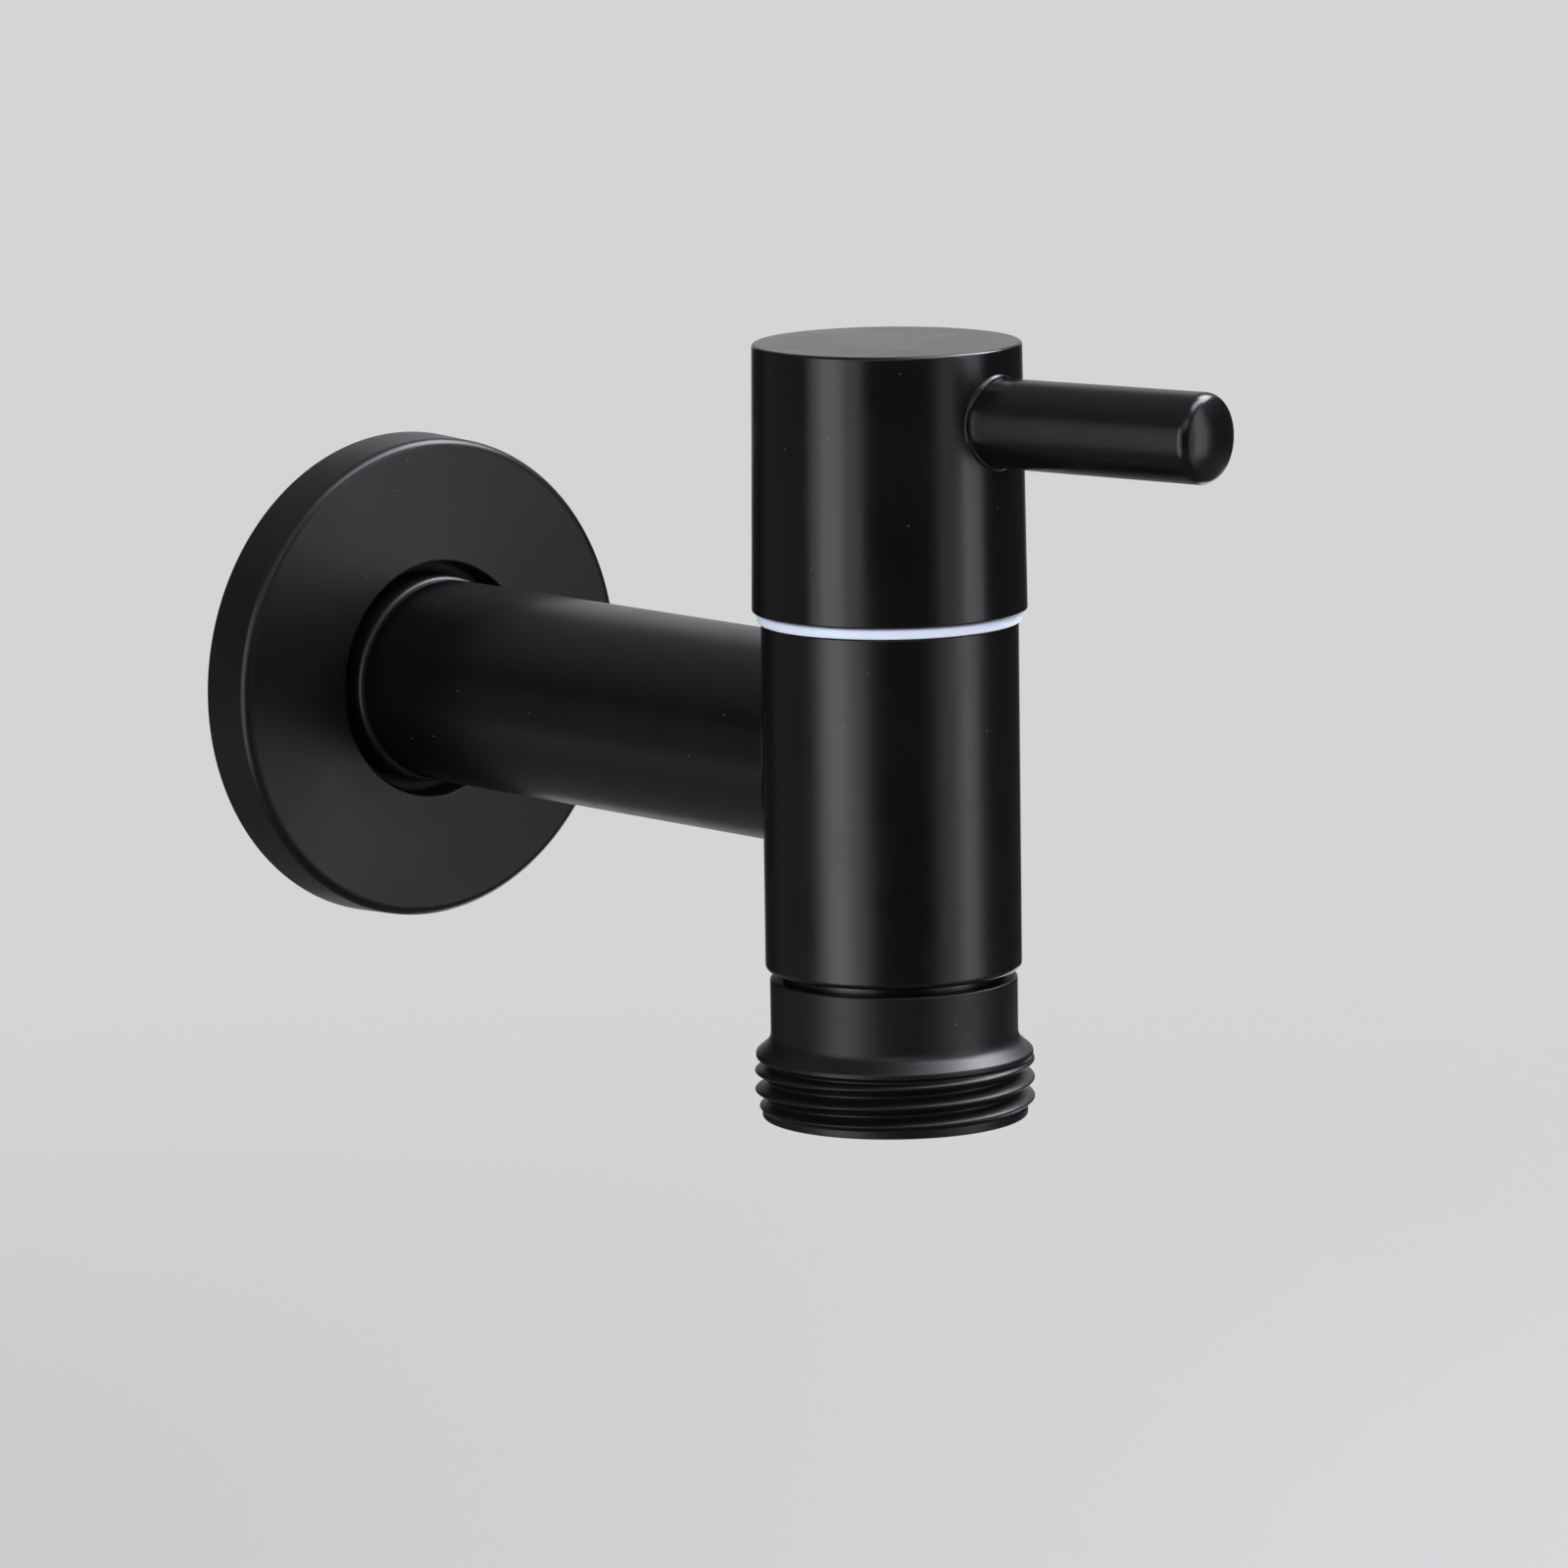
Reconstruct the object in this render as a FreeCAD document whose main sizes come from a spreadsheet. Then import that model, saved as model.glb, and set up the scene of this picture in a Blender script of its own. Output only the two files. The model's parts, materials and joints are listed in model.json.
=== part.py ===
"""A wall mounted garden tap with a quarter turn handle, built piece by piece.

The arm's axis lies along Y, at height zero, and the wall is the plane Y = 0.
The barrel stands upright in front of the wall, so the tap reaches towards -Y.
Every size is in millimetres and every angle in degrees.
"""
import FreeCAD, Part
import os
import re
import Sketcher

SIZES = {
    # The whole tap
    "reach": 74.0,  # wall to the barrel's upright axis
    "lever_swing": 13.0,  # closed lever, turned from straight out of the wall
    "turn_range": 90.0,  # travel of the handle from closed to open
    # Gaps between pieces
    "screw_gap": 0.05,  # radial gap of screwed and pushed in joints
    "running_gap": 0.05,  # radial gap of the spindle in its bore
    "lap_gap": 0.02,  # between lapped or rubbing flat faces
    "rim_gap": 0.10,  # under the cap's rim
    "stop_angle": 0.5,  # left between the stops at each end of travel
    "washer_gap": 0.1,  # radial gap of flat washers
    "cut_past": 1.0,  # how far a cut runs past the piece it opens
    # Wall flange, a thin spun cover
    "flange_front": 23.8,
    "flange_back": 24.05,
    "flange_depth": 5.7,
    "flange_crown": 0.6,
    "flange_wall": 1.1,
    "flange_hole": 11.6,
    "flange_round": 0.7,
    "grip_collar_depth": 5.0,
    "grip_collar_wall": 1.5,
    "grip_groove_depth": 0.55,
    "grip_groove_width": 2.0,
    "grip_groove_back": 2.6,  # wall to the middle of the groove
    # Inlet nipple with its half inch pipe thread
    "inlet_thread": 10.4775,
    "pipe_pitch": 1.814,
    "pipe_depth": 1.162,
    "crest_half": 0.14,
    "crest_drop": 0.1,
    "ridge_half": 0.82,
    "inlet_length": 13.2,
    "inlet_land": 0.9,
    "inlet_start": 0.2,
    "shoulder_radius": 10.24,
    "shoulder_front": 6.9,
    "shoulder_bevel": 0.3,
    "waterway": 5.0,
    # Arm tube
    "arm_radius": 9.95,
    "arm_socket": 8.0,
    "arm_socket_depth": 10.0,
    "arm_seal_height": 1.5,
    "spigot_radius": 6.5,
    "spigot_end": 10.7,  # from the barrel's axis
    # Barrel
    "body_radius": 12.1,
    "body_rise": 12.7,
    "body_drop": 20.35,
    "body_round": 0.6,
    "body_top_bevel": 0.2,
    "chamber_radius": 9.9,
    "chamber_drop": 7.0,
    "seat_pocket": 8.75,
    "seat_drop": 9.6,
    "seat_bore": 4.6,
    "seat_floor": 2.4,
    "outlet_bore": 7.0,
    "stub_length": 5.5,
    # Ceramic cartridge
    "cage_radius": 8.6,
    "cage_bore": 6.6,
    "cartridge_thread": 10.4775,
    "thread_length": 6.8,
    "head_radius": 11.0,
    "head_height": 1.5,
    "key_across": 17.0,
    "key_height": 4.7,
    "window_half": 5.6,
    "rib_inner": 5.3,
    "rib_overlap": 1.0,
    "seal_groove_height": 1.3,
    "cartridge_seal_section": 0.5,
    "seat_washer_height": 2.0,
    "seat_washer_bore": 4.9,
    "disc_radius": 6.4,
    "disc_height": 2.5,
    "disc_hub": 1.8,
    "disc_port": 5.4,
    "port_half": 33.0,
    "slot_depth": 0.7,
    "ear_half": 20.0,
    "ear_radius": 6.2,
    "ear_root": 2.4,
    "ear_ease": 1.5,  # angle left on each side of an ear in its slot
    "foot_height": 3.0,
    "foot_hub": 3.4,
    "collar_radius": 6.3,
    "collar_height": 1.2,
    "thrust_height": 0.5,
    # Spindle
    "spindle_radius": 4.0,
    "seal_section": 0.75,
    "seal_side_gap": 0.1,
    "seal_low": 6.0,
    "seal_high": 9.0,
    "clip_lift": 0.1,
    "clip_height": 0.6,
    "clip_inner": 3.3,
    "clip_outer": 5.3,
    "clip_mouth": 35.0,
    "spline_lift": 1.5,  # top of the key faces to the foot of the spline
    "spline_length": 9.4,
    "spline_root": 3.7,
    "spline_teeth": 20.0,
    "tooth_half": 4.2,
    "tooth_gap": 0.5,  # angle left on each side of a tooth
    "tooth_sink": 0.3,
    # Indicator ring
    "ring_height": 1.0,
    "ring_outer": 12.45,
    "ring_inner": 10.05,
    "ring_round": 0.2,
    # Handle cap
    "cap_height": 25.2,
    "cap_foot_radius": 12.95,
    "cap_top_radius": 12.65,
    "cap_top_round": 0.35,
    "cap_foot_bevel": 0.15,
    "cap_cavity": 10.4,
    "cap_roof": 2.4,
    "boss_radius": 7.3,
    "insert_radius": 5.6,
    "insert_room": 0.6,
    "lug_bite": 1.0,  # how far a lug reaches into the walls it joins
    # Lever
    "lever_height": 32.16,
    "lever_seat": 11.8,
    "lever_root": 4.18,
    "lever_tip": 4.27,
    "lever_end": 37.17,
    "lever_crown": 1.2,
    "lever_end_round": 1.2,
    "lever_root_bevel": 0.25,
    "lever_recess_gap": 0.12,
    "lever_lug": 4.8,
    "stud_radius": 2.5,
    "stud_end": 3.5,
    "stud_hole_end": 3.0,
    # Handle screw
    "grub_height": 23.6,
    "grub_radius": 2.0,
    "grub_length": 5.0,
    "grub_key": 2.0,
    "grub_key_depth": 2.2,
    "grub_point": 0.8,
    "grub_lug": 3.7,
    # Outlet nozzle with its three quarter inch pipe thread
    "outlet_thread": 13.2205,
    "land_drop": 0.12,
    "nozzle_gap": 0.75,
    "neck_radius": 11.68,
    "neck_bevel": 0.25,
    "neck_length": 5.9,
    "flare_height": 1.2,
    "flare_round": 1.5,
    "flare_land": 0.6,
    "outlet_thread_height": 4.95,
    "outlet_thread_turn": 48.0,  # direction in which the thread starts, round the axis
    "lip_radius": 12.55,  # plain lip below the thread
    "lip_height": 0.65,
    "lip_bevel": 0.12,
    "outlet_washer_height": 1.6,
    "washer_hole": 7.2,
    "ledge_height": 1.0,
    "ledge_bore": 8.0,
    "nozzle_pocket": 10.4,
    "straightener_height": 3.0,
    "straightener_hole": 1.55,
    "straightener_step": 3.7,
    "screen_height": 0.4,
    "screen_hole": 0.5,
    "screen_step": 1.5,
    "screen_field": 8.2,
    "retainer_height": 1.0,
    "retainer_hole": 8.7,
}

# Levels on the barrel's axis, measured from the arm's axis
SEAT = "-seat_drop"
FIXED_DISC_FOOT = "seat_washer_height - seat_drop"
MOVING_DISC_FOOT = FIXED_DISC_FOOT + " + disc_height + lap_gap"
MOVING_DISC_TOP = MOVING_DISC_FOOT + " + disc_height"
COLLAR_FOOT = MOVING_DISC_TOP + " - slot_depth + foot_height"
COLLAR_TOP = COLLAR_FOOT + " + collar_height"
CAGE_ROOF = COLLAR_TOP + " + lap_gap + thrust_height"
HEAD_FOOT = "body_rise - head_height"
KEY_TOP = "body_rise + key_height"
SPLINE_FOOT = KEY_TOP + " + spline_lift"
SPLINE_TOP = SPLINE_FOOT + " + spline_length"
CAP_FOOT = "body_rise + ring_height + rim_gap"
CAP_TOP = CAP_FOOT + " + cap_height"
STUB_FOOT = "-body_drop - stub_length"
NOZZLE_TOP = "-body_drop - nozzle_gap"
FLARE_TOP = NOZZLE_TOP + " - neck_length"
LAND_TOP = FLARE_TOP + " - flare_height"
THREAD_TOP = LAND_TOP + " - flare_land"
THREAD_FOOT = THREAD_TOP + " - outlet_thread_height"
NOZZLE_FOOT = THREAD_FOOT + " - lip_height"
LEDGE_TOP = STUB_FOOT + " - outlet_washer_height"
POCKET_TOP = LEDGE_TOP + " - ledge_height"
SCREEN_TOP = POCKET_TOP + " - straightener_height"
RETAINER_TOP = SCREEN_TOP + " - screen_height"

# The grip ring's section, which fills the room between the shoulder and its groove
GRIP_INNER = "shoulder_radius + screw_gap"
GRIP_OUTER = "flange_hole + grip_groove_depth - screw_gap"
GRIP_SECTION = "(%s - (%s)) / 2" % (GRIP_OUTER, GRIP_INNER)
GRIP_GROOVE = "max(grip_groove_width; 2 * (%s) + 2 * lap_gap)" % GRIP_SECTION

# The lever's stud ends above the insert, or at its side where the lever sits that low
ROOM_TOP = SPLINE_TOP + " + insert_room"
STUD_END = "(lever_height - stud_radius > %s ? stud_end : insert_radius + washer_gap)" % ROOM_TOP
STUD_HOLE_END = STUD_END + " - stud_end + stud_hole_end"

# Rings of the lever's domed end, as shares of its radius, from the rim to a flat middle
DOME_SHARES = (1.0, 0.75, 0.6, 0.45, 0.3, 0.15)

# Directions in which features are cut or raised, away from a sketch
NORMAL, AGAINST, BOTH = "normal", "against", "both"

DOC = FreeCAD.newDocument("GardenTap")
SHEET = DOC.addObject("Spreadsheet::Sheet", "Sizes")


def fill_sheet():
    """Write every driving size into the sheet, one named cell each."""
    for row, (name, number) in enumerate(SIZES.items(), start=1):
        SHEET.set("A%d" % row, name)
        SHEET.set("B%d" % row, str(number))
        SHEET.setAlias("B%d" % row, name)
    DOC.recompute()


def size(name):
    """Return one driving size as a number."""
    return float(SHEET.get(name))


def bound(formula):
    """Point each size's name in a formula at the sheet."""
    return re.sub(r"\b([a-z]\w*)\b(?!\()", r"Sizes.\1", formula)


class Piece:
    """One body, turned about its own axis: upright on the barrel or level on the arm."""

    def __init__(self, label, upright=True, clocked=False, height="0"):
        self.body = DOC.addObject("PartDesign::Body", label)
        self.body.Label = label
        self.profile_plane = "XZ_Plane" if upright else "XY_Plane"
        self.upright = upright
        if upright or clocked:
            self.body.setExpression("Placement.Base.y", bound("-reach"))
        self.body.setExpression("Placement.Base.z", bound(height))
        if clocked:
            self.body.setExpression("Placement.Rotation.Angle", bound("lever_swing") + " * 1 deg")

    def sketch(self, plane, lift="0"):
        """Start a sketch on one of the body's own planes, lifted along its normal."""
        drawn = self.body.newObject("Sketcher::SketchObject", "Sketch")
        origin = [item for item in self.body.Origin.OriginFeatures if item.Role == plane]
        drawn.AttachmentSupport = (origin[0], [""])
        drawn.MapMode = "FlatFace"
        drawn.setExpression("AttachmentOffset.Base.z", bound(lift))
        return drawn

    def outline(self, plane, corners, lift="0"):
        """Draw a closed outline of straight edges whose corners follow the sheet."""
        drawn = self.sketch(plane, lift)
        count = len(corners)
        rough = [FreeCAD.Vector(step + 1.0, (step + 1.0) ** 2, 0) for step in range(count)]
        for step in range(count):
            drawn.addGeometry(Part.LineSegment(rough[step], rough[(step + 1) % count]), False)
        for step in range(count):
            drawn.addConstraint(Sketcher.Constraint("Coincident", step, 2, (step + 1) % count, 1))
        for step, corner in enumerate(corners):
            for kind, axis, formula in (("DistanceX", -2, corner[0]), ("DistanceY", -1, corner[1])):
                if formula == "0":
                    drawn.addConstraint(Sketcher.Constraint("PointOnObject", step, 1, axis))
                else:
                    bind = drawn.addConstraint(Sketcher.Constraint(kind, -1, 1, step, 1, 1.0))
                    drawn.setExpression("Constraints[%d]" % bind, bound(formula))
        return drawn

    def circles(self, plane, places, radius, lift="0"):
        """Draw circles of one radius at the given places."""
        drawn = self.sketch(plane, lift)
        for step, place in enumerate(places):
            start = FreeCAD.Vector(3.0 * step, step, 0)
            drawn.addGeometry(Part.Circle(start, FreeCAD.Vector(0, 0, 1), 1.0), False)
            for kind, axis, formula in (("DistanceX", -2, place[0]), ("DistanceY", -1, place[1])):
                if formula == "0":
                    drawn.addConstraint(Sketcher.Constraint("PointOnObject", step, 3, axis))
                else:
                    bind = drawn.addConstraint(Sketcher.Constraint(kind, -1, 1, step, 3, 1.0))
                    drawn.setExpression("Constraints[%d]" % bind, bound(formula))
            bind = drawn.addConstraint(Sketcher.Constraint("Radius", step, 1.0))
            drawn.setExpression("Constraints[%d]" % bind, bound(radius))
        return drawn

    def feature(self, kind, profile):
        """Add one feature made from a sketch and make it the body's last."""
        made = self.body.newObject("PartDesign::" + kind, kind)
        made.Profile = profile
        profile.Visibility = False
        self.body.Tip = made
        return made

    def turn(self, corners, cut=False):
        """Turn an outline of (radius, place on the axis) corners a full circle."""
        made = self.feature("Groove" if cut else "Revolution", self.outline(self.profile_plane, corners))
        made.ReferenceAxis = (made.Profile[0], ["V_Axis"])
        made.Angle = 360.0
        DOC.recompute()
        return made

    def turn_circle(self, radius, place, section):
        """Turn a round section into a ring."""
        made = self.feature("Revolution", self.circles(self.profile_plane, [(radius, place)], section))
        made.ReferenceAxis = (made.Profile[0], ["V_Axis"])
        made.Angle = 360.0
        DOC.recompute()
        return made

    def extrude(self, profile, length, cut=False, way=NORMAL):
        """Raise or cut a sketch by a length, along its normal, against it or both ways."""
        made = self.feature("Pocket" if cut else "Pad", profile)
        made.setExpression("Length", bound(length))
        made.Midplane = way == BOTH
        # A cut goes against its sketch's normal unless it is reversed
        made.Reversed = (way == NORMAL) if cut else (way == AGAINST)
        DOC.recompute()
        return made

    def repeat(self, feature, count):
        """Repeat a feature round the body's upright axis."""
        made = self.body.newObject("PartDesign::PolarPattern", "Repeat")
        made.Originals = [feature]
        made.Axis = (feature.Profile[0], ["N_Axis"])
        made.Angle = 360.0
        made.setExpression("Occurrences", bound(count))
        self.body.Tip = made
        DOC.recompute()
        return made

    def rings(self, radius, place, slack=0.01):
        """Name the edges that run round the axis at a radius and a place on the axis."""
        named = []
        for number, edge in enumerate(self.body.Tip.Shape.Edges, start=1):
            points = edge.discretize(5)
            along = [point.z if self.upright else point.y for point in points]
            across = [(point.x, point.y if self.upright else point.z) for point in points]
            radii = [(side * side + depth * depth) ** 0.5 for side, depth in across]
            if max(abs(r - radius) for r in radii) < slack:
                if max(abs(a - place) for a in along) < slack:
                    named.append("Edge%d" % number)
        return named

    def soften(self, kind, radius, place, amount):
        """Round or bevel the edges at a radius and a place on the axis."""
        base = self.body.Tip
        edges = self.rings(radius, place)
        made = self.body.newObject("PartDesign::" + kind, kind)
        made.Base = (base, edges)
        made.setExpression("Radius" if kind == "Fillet" else "Size", bound(amount))
        self.body.Tip = made
        DOC.recompute()
        return made

    def thread(self, crest, start, length, angle):
        """Wind a pipe thread's ridge round the axis, from a start and upwards by a length.

        Args:
            crest: formula of the radius over the crests.
            start: formula of the first turn's middle on the axis.
            length: formula of the rise from the first turn to the last.
            angle: direction of the first turn, in degrees round the axis.
        """
        root = crest + " - pipe_depth - crest_drop"
        ridge = [
            (root, start + " - ridge_half"),
            (crest + " - crest_drop", start + " - 2 * crest_half"),
            (crest, start + " - crest_half"),
            (crest, start + " + crest_half"),
            (crest + " - crest_drop", start + " + 2 * crest_half"),
            (root, start + " + ridge_half"),
        ]
        profile = self.outline(self.profile_plane, ridge)
        turned = FreeCAD.Rotation(FreeCAD.Vector(0, 1, 0), angle)
        profile.AttachmentOffset = FreeCAD.Placement(FreeCAD.Vector(0, 0, 0), turned)
        made = self.feature("AdditiveHelix", profile)
        made.ReferenceAxis = (profile, ["V_Axis"])
        made.Mode = 0
        made.setExpression("Pitch", bound("pipe_pitch"))
        made.setExpression("Height", bound(length))
        DOC.recompute()
        return made


def polar(radius, angle):
    """Return a corner at a radius and an angle round the upright axis, as formulas."""
    return (
        "(%s) * cos((%s) * 1deg)" % (radius, angle),
        "(%s) * sin((%s) * 1deg)" % (radius, angle),
    )


def sector(middle, half, inner, outer):
    """Return the corners of a piece of a ring between two radii, with radial sides."""
    low = "%s - (%s)" % (middle, half)
    high = "%s + (%s)" % (middle, half)
    return [polar(inner, low), polar(outer, low), polar(outer, high), polar(inner, high)]


def hexagon(across):
    """Return the corners of a hexagon, given the size across its flats."""
    corner = "%s / 2 / cos(30 * 1deg)" % across
    return [polar(corner, str(60 * step)) for step in range(6)]


def tube(inner, outer, low, high):
    """Return the corners of a plain ring's section."""
    return [(inner, low), (outer, low), (outer, high), (inner, high)]


def hole_grid(step, field, pitch):
    """Return the places of a hexagonal grid of holes inside a round field."""
    places = []
    rows = int(field / step) + 1
    for row in range(-rows, rows + 1):
        for column in range(-rows, rows + 1):
            across = column + row / 2.0
            up = row * 3.0 ** 0.5 / 2.0
            if step * (across * across + up * up) ** 0.5 > field:
                continue
            places.append(
                (
                    "0" if across == 0 else "%s * %.6f" % (pitch, across),
                    "0" if up == 0 else "%s * %.6f" % (pitch, up),
                )
            )
    return places


def wall_flange():
    """Thin round cover against the wall, with a collar inside that holds the grip ring."""
    piece = Piece("wall_flange", upright=False)
    crown = "-flange_depth - flange_crown"
    collar = "flange_hole + grip_collar_wall"
    slope = "flange_crown * (flange_front - %s) / (flange_front - flange_hole)" % collar
    piece.turn(
        [
            ("flange_hole", crown),
            ("flange_front", "-flange_depth"),
            ("flange_back", "0"),
            ("flange_back - flange_wall", "0"),
            ("flange_front - flange_wall", "flange_wall - flange_depth"),
            (collar, "flange_wall - flange_depth - " + slope),
            (collar, crown + " + grip_collar_depth"),
            ("flange_hole", crown + " + grip_collar_depth"),
        ]
    )
    piece.turn(
        tube(
            "flange_hole - cut_past",
            "flange_hole + grip_groove_depth",
            "-grip_groove_back - %s / 2" % GRIP_GROOVE,
            "-grip_groove_back + %s / 2" % GRIP_GROOVE,
        ),
        cut=True,
    )
    piece.soften("Fillet", size("flange_front"), -size("flange_depth"), "flange_round")
    return piece


def flange_grip_ring():
    """Rubber ring in the flange's collar, which grips the nipple's shoulder."""
    piece = Piece("flange_grip_ring", upright=False)
    middle = "(%s + %s) / 2" % (GRIP_INNER, GRIP_OUTER)
    piece.turn_circle(middle, "-grip_groove_back", GRIP_SECTION)
    return piece


def inlet_nipple():
    """Threaded inlet: a shoulder inside the flange, a stub in the arm and a pipe thread."""
    piece = Piece("inlet_nipple", upright=False)
    stub_front = "-shoulder_front - arm_socket_depth + arm_seal_height"
    thread_end = "inlet_length - inlet_land"
    root = "inlet_thread - pipe_depth"
    piece.turn(
        [
            ("waterway", stub_front),
            ("arm_socket - screw_gap", stub_front),
            ("arm_socket - screw_gap", "-shoulder_front"),
            ("shoulder_radius", "-shoulder_front"),
            ("shoulder_radius", "inlet_start"),
            ("inlet_thread", "inlet_start"),
            ("inlet_thread", "inlet_start + inlet_land"),
            (root, "inlet_start + inlet_land"),
            (root, thread_end),
            ("inlet_thread - land_drop", thread_end),
            ("inlet_thread - land_drop", "inlet_length"),
            ("waterway", "inlet_length"),
        ]
    )
    piece.thread(
        "inlet_thread",
        "inlet_start + inlet_land + ridge_half / 2",
        thread_end + " - inlet_start - inlet_land - ridge_half / 2",
        0.0,
    )
    piece.soften("Chamfer", size("shoulder_radius"), -size("shoulder_front"), "shoulder_bevel")
    return piece


def arm_seal():
    """Flat ring between the nipple's stub and the bottom of the arm's socket."""
    piece = Piece("arm_seal", upright=False)
    front = "-shoulder_front - arm_socket_depth"
    piece.turn(tube("waterway + washer_gap", "arm_socket - washer_gap", front, front + " + arm_seal_height"))
    return piece


def arm_tube():
    """Level tube from the nipple to the barrel, saddle cut where it meets the barrel."""
    piece = Piece("arm_tube", upright=False)
    piece.turn(
        [
            ("0", "-reach"),
            ("arm_radius", "-reach"),
            ("arm_radius", "-shoulder_front"),
            ("0", "-shoulder_front"),
        ]
    )
    saddle = piece.circles("XY_Plane", [("0", "-reach")], "body_radius")
    piece.extrude(saddle, "4 * arm_radius", cut=True, way=BOTH)
    piece.turn(
        [
            ("0", "spigot_radius - reach"),
            ("spigot_radius", "spigot_radius - reach"),
            ("spigot_radius", "body_radius - reach + cut_past"),
            ("0", "body_radius - reach + cut_past"),
        ]
    )
    end = piece.circles("XY_Plane", [("0", "-reach")], "spigot_end")
    piece.extrude(end, "4 * arm_radius", cut=True, way=BOTH)
    socket = "-shoulder_front - arm_socket_depth"
    piece.turn(
        [
            ("0", "-reach"),
            ("waterway", "-reach"),
            ("waterway", socket),
            ("arm_socket", socket),
            ("arm_socket", "cut_past - shoulder_front"),
            ("0", "cut_past - shoulder_front"),
        ],
        cut=True,
    )
    return piece


def tap_body():
    """Upright barrel: cartridge chamber and seat above, threaded outlet stub below."""
    piece = Piece("tap_body")
    head = "head_radius + screw_gap"
    piece.turn(
        [
            ("outlet_bore", STUB_FOOT),
            ("inlet_thread", STUB_FOOT),
            ("inlet_thread", "-body_drop"),
            ("body_radius", "-body_drop"),
            ("body_radius", "body_rise"),
            (head, "body_rise"),
            (head, HEAD_FOOT),
            ("cartridge_thread + screw_gap", HEAD_FOOT),
            ("cartridge_thread + screw_gap", HEAD_FOOT + " - thread_length"),
            ("chamber_radius", HEAD_FOOT + " - thread_length"),
            ("chamber_radius", "-chamber_drop"),
            ("seat_pocket", "-chamber_drop"),
            ("seat_pocket", SEAT),
            ("seat_bore", SEAT),
            ("seat_bore", SEAT + " - seat_floor"),
            ("outlet_bore", SEAT + " - seat_floor"),
        ]
    )
    piece.soften("Fillet", size("body_radius"), -size("body_drop"), "body_round")
    piece.soften("Chamfer", size("body_radius"), size("body_rise"), "body_top_bevel")
    port = piece.circles("XZ_Plane", [("0", "0")], "spigot_radius + screw_gap")
    piece.extrude(port, "2 * body_radius", cut=True, way=AGAINST)
    return piece


def seat_washer():
    """Rubber ring under the fixed disc, squeezed on the barrel's seat."""
    piece = Piece("seat_washer", clocked=True)
    piece.turn(tube("seat_washer_bore", "cage_radius - washer_gap", SEAT, FIXED_DISC_FOOT))
    return piece


def ported_disc(label, foot, first_port):
    """Lapped ceramic disc with two opposite ports, the first centred at an angle."""
    piece = Piece(label, clocked=True)
    piece.extrude(piece.circles("XY_Plane", [("0", "0")], "disc_radius", foot), "disc_height")
    ports = piece.outline("XY_Plane", sector(first_port, "port_half", "disc_hub", "disc_port"), foot)
    piece.repeat(piece.extrude(ports, "disc_height", cut=True), "2")
    return piece


def fixed_disc():
    """Lower disc, held still in the cage."""
    return ported_disc("fixed_disc", FIXED_DISC_FOOT, "90 - turn_range / 2")


def moving_disc():
    """Upper disc, turned by the spindle's ears in its two slots."""
    piece = ported_disc("moving_disc", MOVING_DISC_FOOT, "180 - turn_range / 2")
    slot = sector("(90 - turn_range / 2)", "ear_half + ear_ease", "ear_root", "disc_radius + cut_past")
    drawn = piece.outline("XY_Plane", slot, MOVING_DISC_TOP + " - slot_depth")
    piece.repeat(piece.extrude(drawn, "slot_depth + cut_past", cut=True), "2")
    return piece


def cartridge_housing():
    """Brass headwork: a windowed cage for the discs, a thread, a seat rim and key faces."""
    piece = Piece("cartridge_housing", clocked=True)
    stem = "spindle_radius + running_gap"
    thread_foot = HEAD_FOOT + " - thread_length"
    seal_foot = HEAD_FOOT + " - seal_groove_height"
    seal_root = "cartridge_thread + screw_gap - 2 * cartridge_seal_section - lap_gap"
    piece.turn(
        [
            ("cage_bore", FIXED_DISC_FOOT),
            ("cage_radius", FIXED_DISC_FOOT),
            ("cage_radius", thread_foot),
            ("cartridge_thread", thread_foot),
            ("cartridge_thread", seal_foot),
            (seal_root, seal_foot),
            (seal_root, HEAD_FOOT),
            ("head_radius", HEAD_FOOT),
            ("head_radius", "body_rise"),
            (stem, "body_rise"),
            (stem, CAGE_ROOF),
            ("cage_bore", CAGE_ROOF),
        ]
    )
    keys = piece.outline("XY_Plane", hexagon("key_across"), "body_rise")
    piece.extrude(keys, "key_height")
    bore = piece.circles("XY_Plane", [("0", "0")], stem, "body_rise - cut_past")
    piece.extrude(bore, "key_height + 2 * cut_past", cut=True)
    window_foot = MOVING_DISC_TOP
    window = piece.outline(
        "XZ_Plane",
        [
            ("-window_half", window_foot),
            ("window_half", window_foot),
            ("window_half", window_foot + " + foot_height - slot_depth"),
            ("-window_half", window_foot + " + foot_height - slot_depth"),
        ],
    )
    piece.extrude(window, "4 * cage_radius", cut=True, way=BOTH)
    rib_half = "90 - turn_range / 2 - ear_half - stop_angle"
    ribs = sector("0", rib_half, "rib_inner", "cage_bore + rib_overlap")
    drawn = piece.outline("XY_Plane", ribs, window_foot + " + lap_gap")
    piece.repeat(piece.extrude(drawn, "foot_height - slot_depth - 2 * lap_gap"), "2")
    return piece


def cartridge_seal():
    """Rubber ring under the headwork's rim."""
    piece = Piece("cartridge_seal", clocked=True)
    middle = "cartridge_thread + screw_gap - cartridge_seal_section - lap_gap / 2"
    piece.turn_circle(middle, HEAD_FOOT + " - seal_groove_height / 2", "cartridge_seal_section")
    return piece


def thrust_washer():
    """Slippery ring between the spindle's collar and the roof of the cage."""
    piece = Piece("thrust_washer", clocked=True)
    foot = COLLAR_TOP + " + lap_gap"
    piece.turn(tube("spindle_radius + running_gap", "cage_bore - washer_gap", foot, CAGE_ROOF))
    return piece


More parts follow.
